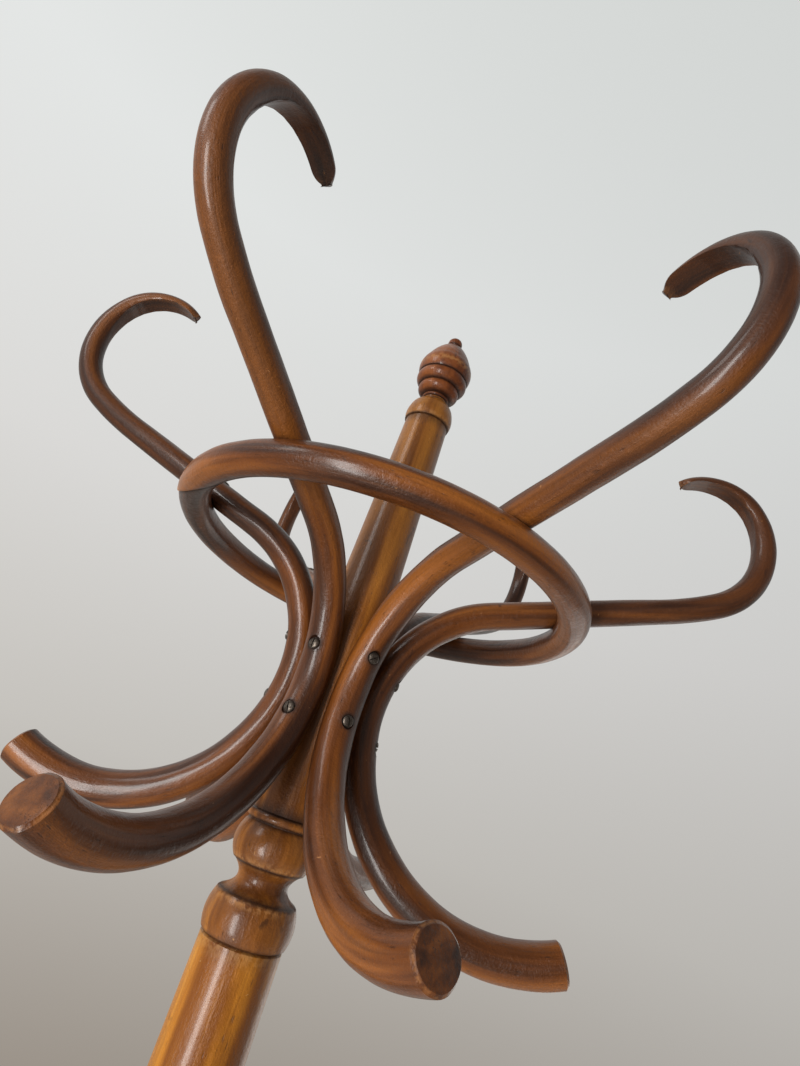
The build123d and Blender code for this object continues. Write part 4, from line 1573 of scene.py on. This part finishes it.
@dataclass
class Legs:
    """The four bent legs."""

    bends: BendSchedule = BendSchedule(
        up=((60.0, 0.0), (90.0, 17.0)),
        down=((85.0, 0.0), (200.0, 68.0), (68.0, 0.0), (120.0, -58.0), (130.0, 0.0)))
    rod: RodShape = RodShape(13.8, -0.0025, foot_bevel=0.0, top_bevel=2.0)
    count: int = 4
    waist_height: float = 455.0
    waist_radius: float = 38.0
    post_radius: float = 26.5
    screw_heights: tuple[float, ...] = (38.0, -52.0)
    ring_seat_at: float = -322.0
    ring_rod: float = 11.5
    ring_let_in: float = 2.5
    glide_thickness: float = 3.0
    cut_allowance: float = 14.0

    def ring_touch(self) -> tuple[Vector, Vector]:
        """Where the umbrella ring and the first leg meet.

        Returns:
            The point on the leg's line and the point on the ring's line.
        """
        place, heading = self.bends.station(self.ring_seat_at)
        on_leg = place + Vector((self.waist_radius, 0, self.waist_height)) * MM
        gap = self.rod.half_thickness(self.ring_seat_at) + (self.ring_rod - self.ring_let_in) * MM
        return on_leg, on_leg + Vector((heading.z, 0, -heading.x)) * gap

    def foot_distance(self) -> float:
        """Finds where a leg's line comes down to its glide.

        Returns:
            The distance up from the waist in mm, so below zero.
        """
        place, heading = self.bends.station(-self.bends.bottom)
        overrun = self.glide_thickness - self.waist_height - place.z / MM
        return -self.bends.bottom + overrun / heading.z

    def build(self, tree: RodTree,
              finish: bpy.types.Material) -> tuple[list[bpy.types.Object], list[Seat], list[Seat]]:
        """Bends, cuts, drills and ages the legs.

        Args:
            tree: the rod tree.
            finish: their material.

        Returns:
            The legs, the seats of their own screws and the seats of the ring's.
        """
        legs, waist_seats, ring_seats = [], [], []
        foot = self.foot_distance()
        stations = self.rod.stations(foot - self.cut_allowance, self.bends.top)
        on_leg, on_ring = self.ring_touch()
        toward = (on_ring - on_leg).normalized()
        crest = self.rod.half_thickness(self.ring_seat_at) - SCREW.seat_depth * MM
        for number in range(self.count):
            turn = Matrix.Rotation(2 * pi * number / self.count, 4, "Z")
            placement = turn @ Matrix.Translation(Vector((self.waist_radius, 0, self.waist_height)) * MM)
            line = [placement @ self.bends.station(distance)[0] for distance in stations]
            normal = (turn.to_3x3() @ Vector((0, 1, 0))).normalized()
            leg = tree.sweep(f"bent_leg_{number + 1}", line, normal, self.rod,
                             (self.cut_allowance - foot) * MM, 9.0 + 1.7 * number, finish)
            self.level(leg.data)
            seats = []
            for height in self.screw_heights:
                place, _ = self.bends.station(height)
                out = (self.rod.radius * self.rod.oval - SCREW.seat_depth) * MM
                facing = turn.to_3x3() @ Vector((1, 0, 0))
                seats.append(Seat(placement @ (place + Vector((out, 0, 0))), facing))
            low = Seat(turn @ (on_leg - toward * crest), turn.to_3x3() @ -toward)
            sink_seats(leg, seats + [low])
            self.age(leg, np.array(line), np.array(stations), normal, number, seats + [low])
            legs.append(leg)
            waist_seats += seats
            ring_seats.append(low)
        return legs, waist_seats, ring_seats

    def level(self, mesh: bpy.types.Mesh) -> None:
        """Cuts a leg off level, on top of its glide.

        Args:
            mesh: the leg's mesh.
        """
        work = bmesh.new()
        work.from_mesh(mesh)
        everything = work.verts[:] + work.edges[:] + work.faces[:]
        bmesh.ops.bisect_plane(work, geom=everything, dist=1e-7, plane_co=(0, 0, self.glide_thickness * MM),
                               plane_no=(0, 0, 1), clear_inner=True)
        rim = [edge for edge in work.edges if edge.is_boundary]
        bmesh.ops.holes_fill(work, edges=rim, sides=0)
        bmesh.ops.recalc_face_normals(work, faces=work.faces)
        work.to_mesh(mesh)
        work.free()

    def age(self, leg: bpy.types.Object, line: np.ndarray, stations: np.ndarray, normal: Vector, number: int,
            seats: Sequence[Seat]) -> None:
        """Writes the attributes that a leg's finish reads.

        Args:
            leg: the leg.
            line: its centre line.
            stations: how far up from the waist each point of the line is, in mm.
            normal: the direction square to the leg's plane.
            number: which leg, from 0.
            seats: its screws' seats.
        """
        mesh = leg.data
        rod_grain(mesh, line, stations * MM, normal, 0.27 * number + 2.6)
        points = places(mesh)
        axis_gap = np.hypot(points[:, 0], points[:, 1]) - self.post_radius * MM
        by_post = fading(axis_gap, JOINT_DIRT * MM)
        by_screw = near(points, [seat.place for seat in seats], SCREW_DIRT * MM,
                         SCREW_DIRT_CORE * MM)
        by_floor = fading(points[:, 2], 0.02) * 0.6
        put_values(mesh, "grime_and_shade", np.maximum.reduce([by_post, by_screw, by_floor]))
        scraped = fading(np.abs(points[:, 2] - 0.045), 0.03) * 0.5
        put_values(mesh, "worn", scraped)


# ---- the room ------------------------------------------------------------------------------


@dataclass(frozen=True)
class Viewpoint:
    """Where the camera stands and how it is held: degrees, metres, and the picture's own units.

    The values are results of a least-squares fit.
    """

    back: float = 0.4627
    below_waist: float = 0.0485
    heading: float = 1.157
    pitch: float = 21.96
    roll: float = 19.32
    focal: float = 617.0
    picture_height: float = 1066.0
    film: float = 36.0

    def camera(self, waist: float) -> None:
        """Sets up the camera.

        Args:
            waist: the height of the arms' waist in metres.
        """
        data = bpy.data.cameras.new("view")
        data.sensor_fit = "AUTO"
        data.sensor_width = self.film
        data.lens = self.film * self.focal / self.picture_height
        data.clip_start = 0.01
        camera = in_scene("view", data)
        heading, pitch, roll = radians(self.heading), radians(self.pitch), radians(self.roll)
        forward = Vector((sin(heading) * cos(pitch), cos(heading) * cos(pitch), sin(pitch)))
        level = Vector((cos(heading), -sin(heading), 0))
        upright = level.cross(forward)
        right = level * cos(roll) + upright * sin(roll)
        up = upright * cos(roll) - level * sin(roll)
        place = Vector((0, -self.back, waist - self.below_waist))
        turned = Matrix((right, up, -forward)).transposed().to_4x4()
        camera.matrix_world = Matrix.Translation(place) @ turned
        bpy.context.scene.camera = camera


@dataclass(frozen=True)
class SoftBox:
    """A soft light: where it stands, what it is aimed at, its size in metres, power and colour."""

    name: str
    place: tuple[float, float, float]
    aim: tuple[float, float, float]
    size: tuple[float, float]
    power: float
    colour: tuple[float, float, float]

    def hang(self) -> None:
        """Sets up the light."""
        data = bpy.data.lights.new(self.name, "AREA")
        data.shape = "RECTANGLE"
        data.size, data.size_y = self.size
        data.energy = self.power
        data.color = self.colour
        light = in_scene(self.name, data)
        toward = Vector(self.aim) - Vector(self.place)
        light.rotation_euler = toward.to_track_quat("-Z", "Y").to_euler()
        light.location = self.place
        light.visible_camera = False


class Room:
    """The plain floor, the soft light and the pale room round the rack."""

    FLOOR_RADIUS = 2.6
    LIGHTS = (
        SoftBox("high_window", (-1.8, -1.0, 2.75), (0, 0, 1.6), (0.6, 0.9), 12.0, (1.0, 0.985, 0.96)),
        SoftBox("tall_window", (-1.15, -1.95, 1.0), (0, 0, 1.3), (0.5, 1.9), 66.0, (1.0, 0.985, 0.96)),
        SoftBox("low_fill", (1.6, 1.8, 0.9), (0, 0, 0.5), (1.6, 1.2), 7.0, (1.0, 0.97, 0.93)),
    )

    def floor(self) -> None:
        """Lays the floor, a pale disc that is not part of the rack."""
        mesh = bpy.data.meshes.new("floor")
        work = bmesh.new()
        bmesh.ops.create_circle(work, cap_ends=True, segments=128, radius=self.FLOOR_RADIUS)
        work.to_mesh(mesh)
        work.free()
        floor = in_scene("floor", mesh)
        material = bpy.data.materials.new("floor_pale")
        material.use_nodes = True
        bench = Bench(material.node_tree)
        shader = material.node_tree.nodes["Principled BSDF"]
        place = bench.node("ShaderNodeTexCoord").outputs["Object"]
        cloud = bench.noise(place, 3.0, 4.0)
        bench.feed(shader.inputs["Base Color"], bench.blend(cloud, tint(196, 194, 189), tint(206, 204, 200)))
        shader.inputs["Roughness"].default_value = 0.85
        mesh.materials.append(material)

    def air(self) -> None:
        """Sets the light of the pale room: brighter up and to the left, dimmer behind the viewer."""
        world = bpy.data.worlds.new("room")
        world.use_nodes = True
        bpy.context.scene.world = world
        bench = Bench(world.node_tree)
        background = world.node_tree.nodes["Background"]
        direction = bench.node("ShaderNodeTexCoord").outputs["Generated"]
        parts = bench.node("ShaderNodeSeparateXYZ", {0: direction}).outputs
        height = bench.maths("MULTIPLY_ADD", parts["Z"], 0.5, 0.5)
        walls = bench.node("ShaderNodeValToRGB", {0: height})
        stops = ((0.30, tint(144, 136, 127)), (0.47, tint(182, 179, 174)), (0.65, tint(200, 199, 197)),
                 (0.83, tint(208, 210, 209)), (1.0, tint(200, 203, 201)))
        ramp = walls.color_ramp
        ramp.elements[0].position, ramp.elements[0].color = stops[0]
        ramp.elements[1].position, ramp.elements[1].color = stops[-1]
        for position, colour in stops[1:-1]:
            ramp.elements.new(position).color = colour
        lean = bench.maths("MULTIPLY_ADD", parts["X"], -0.14, 1.0)
        room_side = bench.maths("MULTIPLY_ADD", bench.ramp(parts["Y"], 0.2, -0.5), -0.64, 1.14)
        bench.feed(background.inputs["Color"], walls.outputs[0])
        ceiling = bench.maths("MULTIPLY", bench.ramp(parts["Z"], 0.1, 0.8), bench.ramp(parts["Y"], 0.2, -0.3))
        dimmed = bench.maths("MULTIPLY", room_side, bench.maths("MULTIPLY_ADD", ceiling, -0.5, 1.0))
        bench.feed(background.inputs["Strength"], bench.maths("MULTIPLY", lean, dimmed))

    def set_up(self, waist: float) -> None:
        """Sets up everything round the rack.

        Args:
            waist: the height of the arms' waist in metres.
        """
        self.floor()
        self.air()
        for light in self.LIGHTS:
            light.hang()
        Viewpoint().camera(waist)
        bpy.context.scene.view_settings.view_transform = "Standard"


# ---- the rack ------------------------------------------------------------------------------


class CoatRack:
    """The whole rack, put together on the frame."""

    WAIST_OVER_SEAM = 157.0

    def __init__(self) -> None:
        """Reads the heights that the pieces hang on from the frame."""
        self.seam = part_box("lower_post")[1].z
        self.waist = self.seam + self.WAIST_OVER_SEAM * MM
        self.shop = Workshop()
        self.rods = RodTree()
        self.screws = ScrewTree()
        self.lathe = Lathe()

    def head(self) -> None:
        """Makes and fits the head's pieces."""
        shop, wood = self.shop, self.shop.material(ARM_FINISH)
        ring, arms = HeadRing(), Arms()
        shop.fit(ring.build(self.rods, self.waist, wood), Body.HEAD, ARM_FINISH, "head_ring")
        pieces, waist_seats, ring_seats = arms.build(self.rods, ring, self.waist, wood)
        for number, arm in enumerate(pieces, start=1):
            shop.fit(arm, Body.HEAD, ARM_FINISH, f"arm_{number}")
        turnery = HeadTurnery(self.waist / MM)
        shop.fit(turnery.shaft(self.lathe), Body.HEAD, SHAFT_FINISH, "head_shaft")
        shop.fit(turnery.finial(self.lathe), Body.HEAD, FINIAL_FINISH, "finial")
        steel = shop.material(SCREW_FINISH)
        shop.fit(self.screws.drive("slotted_arm_screws", waist_seats, 3, steel), Body.HEAD,
                 SCREW_FINISH, "arm_screws")
        shop.fit(self.screws.drive("slotted_ring_screws", ring_seats, 5, steel), Body.HEAD,
                 SCREW_FINISH, "head_ring_screws")

    def base(self) -> None:
        """Makes and fits the stand's pieces."""
        shop, wood = self.shop, self.shop.material(ARM_FINISH)
        legs = Legs()
        pieces, waist_seats, ring_seats = legs.build(self.rods, wood)
        for number, leg in enumerate(pieces, start=1):
            shop.fit(leg, Body.STAND, ARM_FINISH, f"leg_{number}")
        _, on_ring = legs.ring_touch()
        ring = UmbrellaRing(on_ring.x / MM)
        shop.fit(ring.build(self.rods, on_ring.z, wood), Body.STAND, ARM_FINISH, "umbrella_ring")
        turnery = BaseTurnery(self.seam / MM)
        shop.fit(turnery.post(self.lathe), Body.STAND, POST_FINISH, "lower_post")
        shop.fit(turnery.drop(self.lathe), Body.STAND, POST_FINISH, "post_drop")
        steel = shop.material(SCREW_FINISH)
        shop.fit(self.screws.drive("slotted_leg_screws", waist_seats, 7, steel), Body.STAND,
                 SCREW_FINISH, "leg_screws")
        shop.fit(self.screws.drive("slotted_base_screws", ring_seats, 11, steel), Body.STAND,
                 SCREW_FINISH, "umbrella_ring_screws")
        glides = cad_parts["foot_glides"]
        for slot in glides.material_slots:
            slot.material = shop.material(GLIDE_FINISH)
        log.info("foot_glides: kept, with a new finish")


def main() -> None:
    """Makes the rack and the room."""
    logging.basicConfig(level=logging.INFO, format="%(name)s: %(message)s")
    rack = CoatRack()
    rack.head()
    rack.base()
    Room().set_up(rack.waist)


if __name__ == "__main__":
    main()
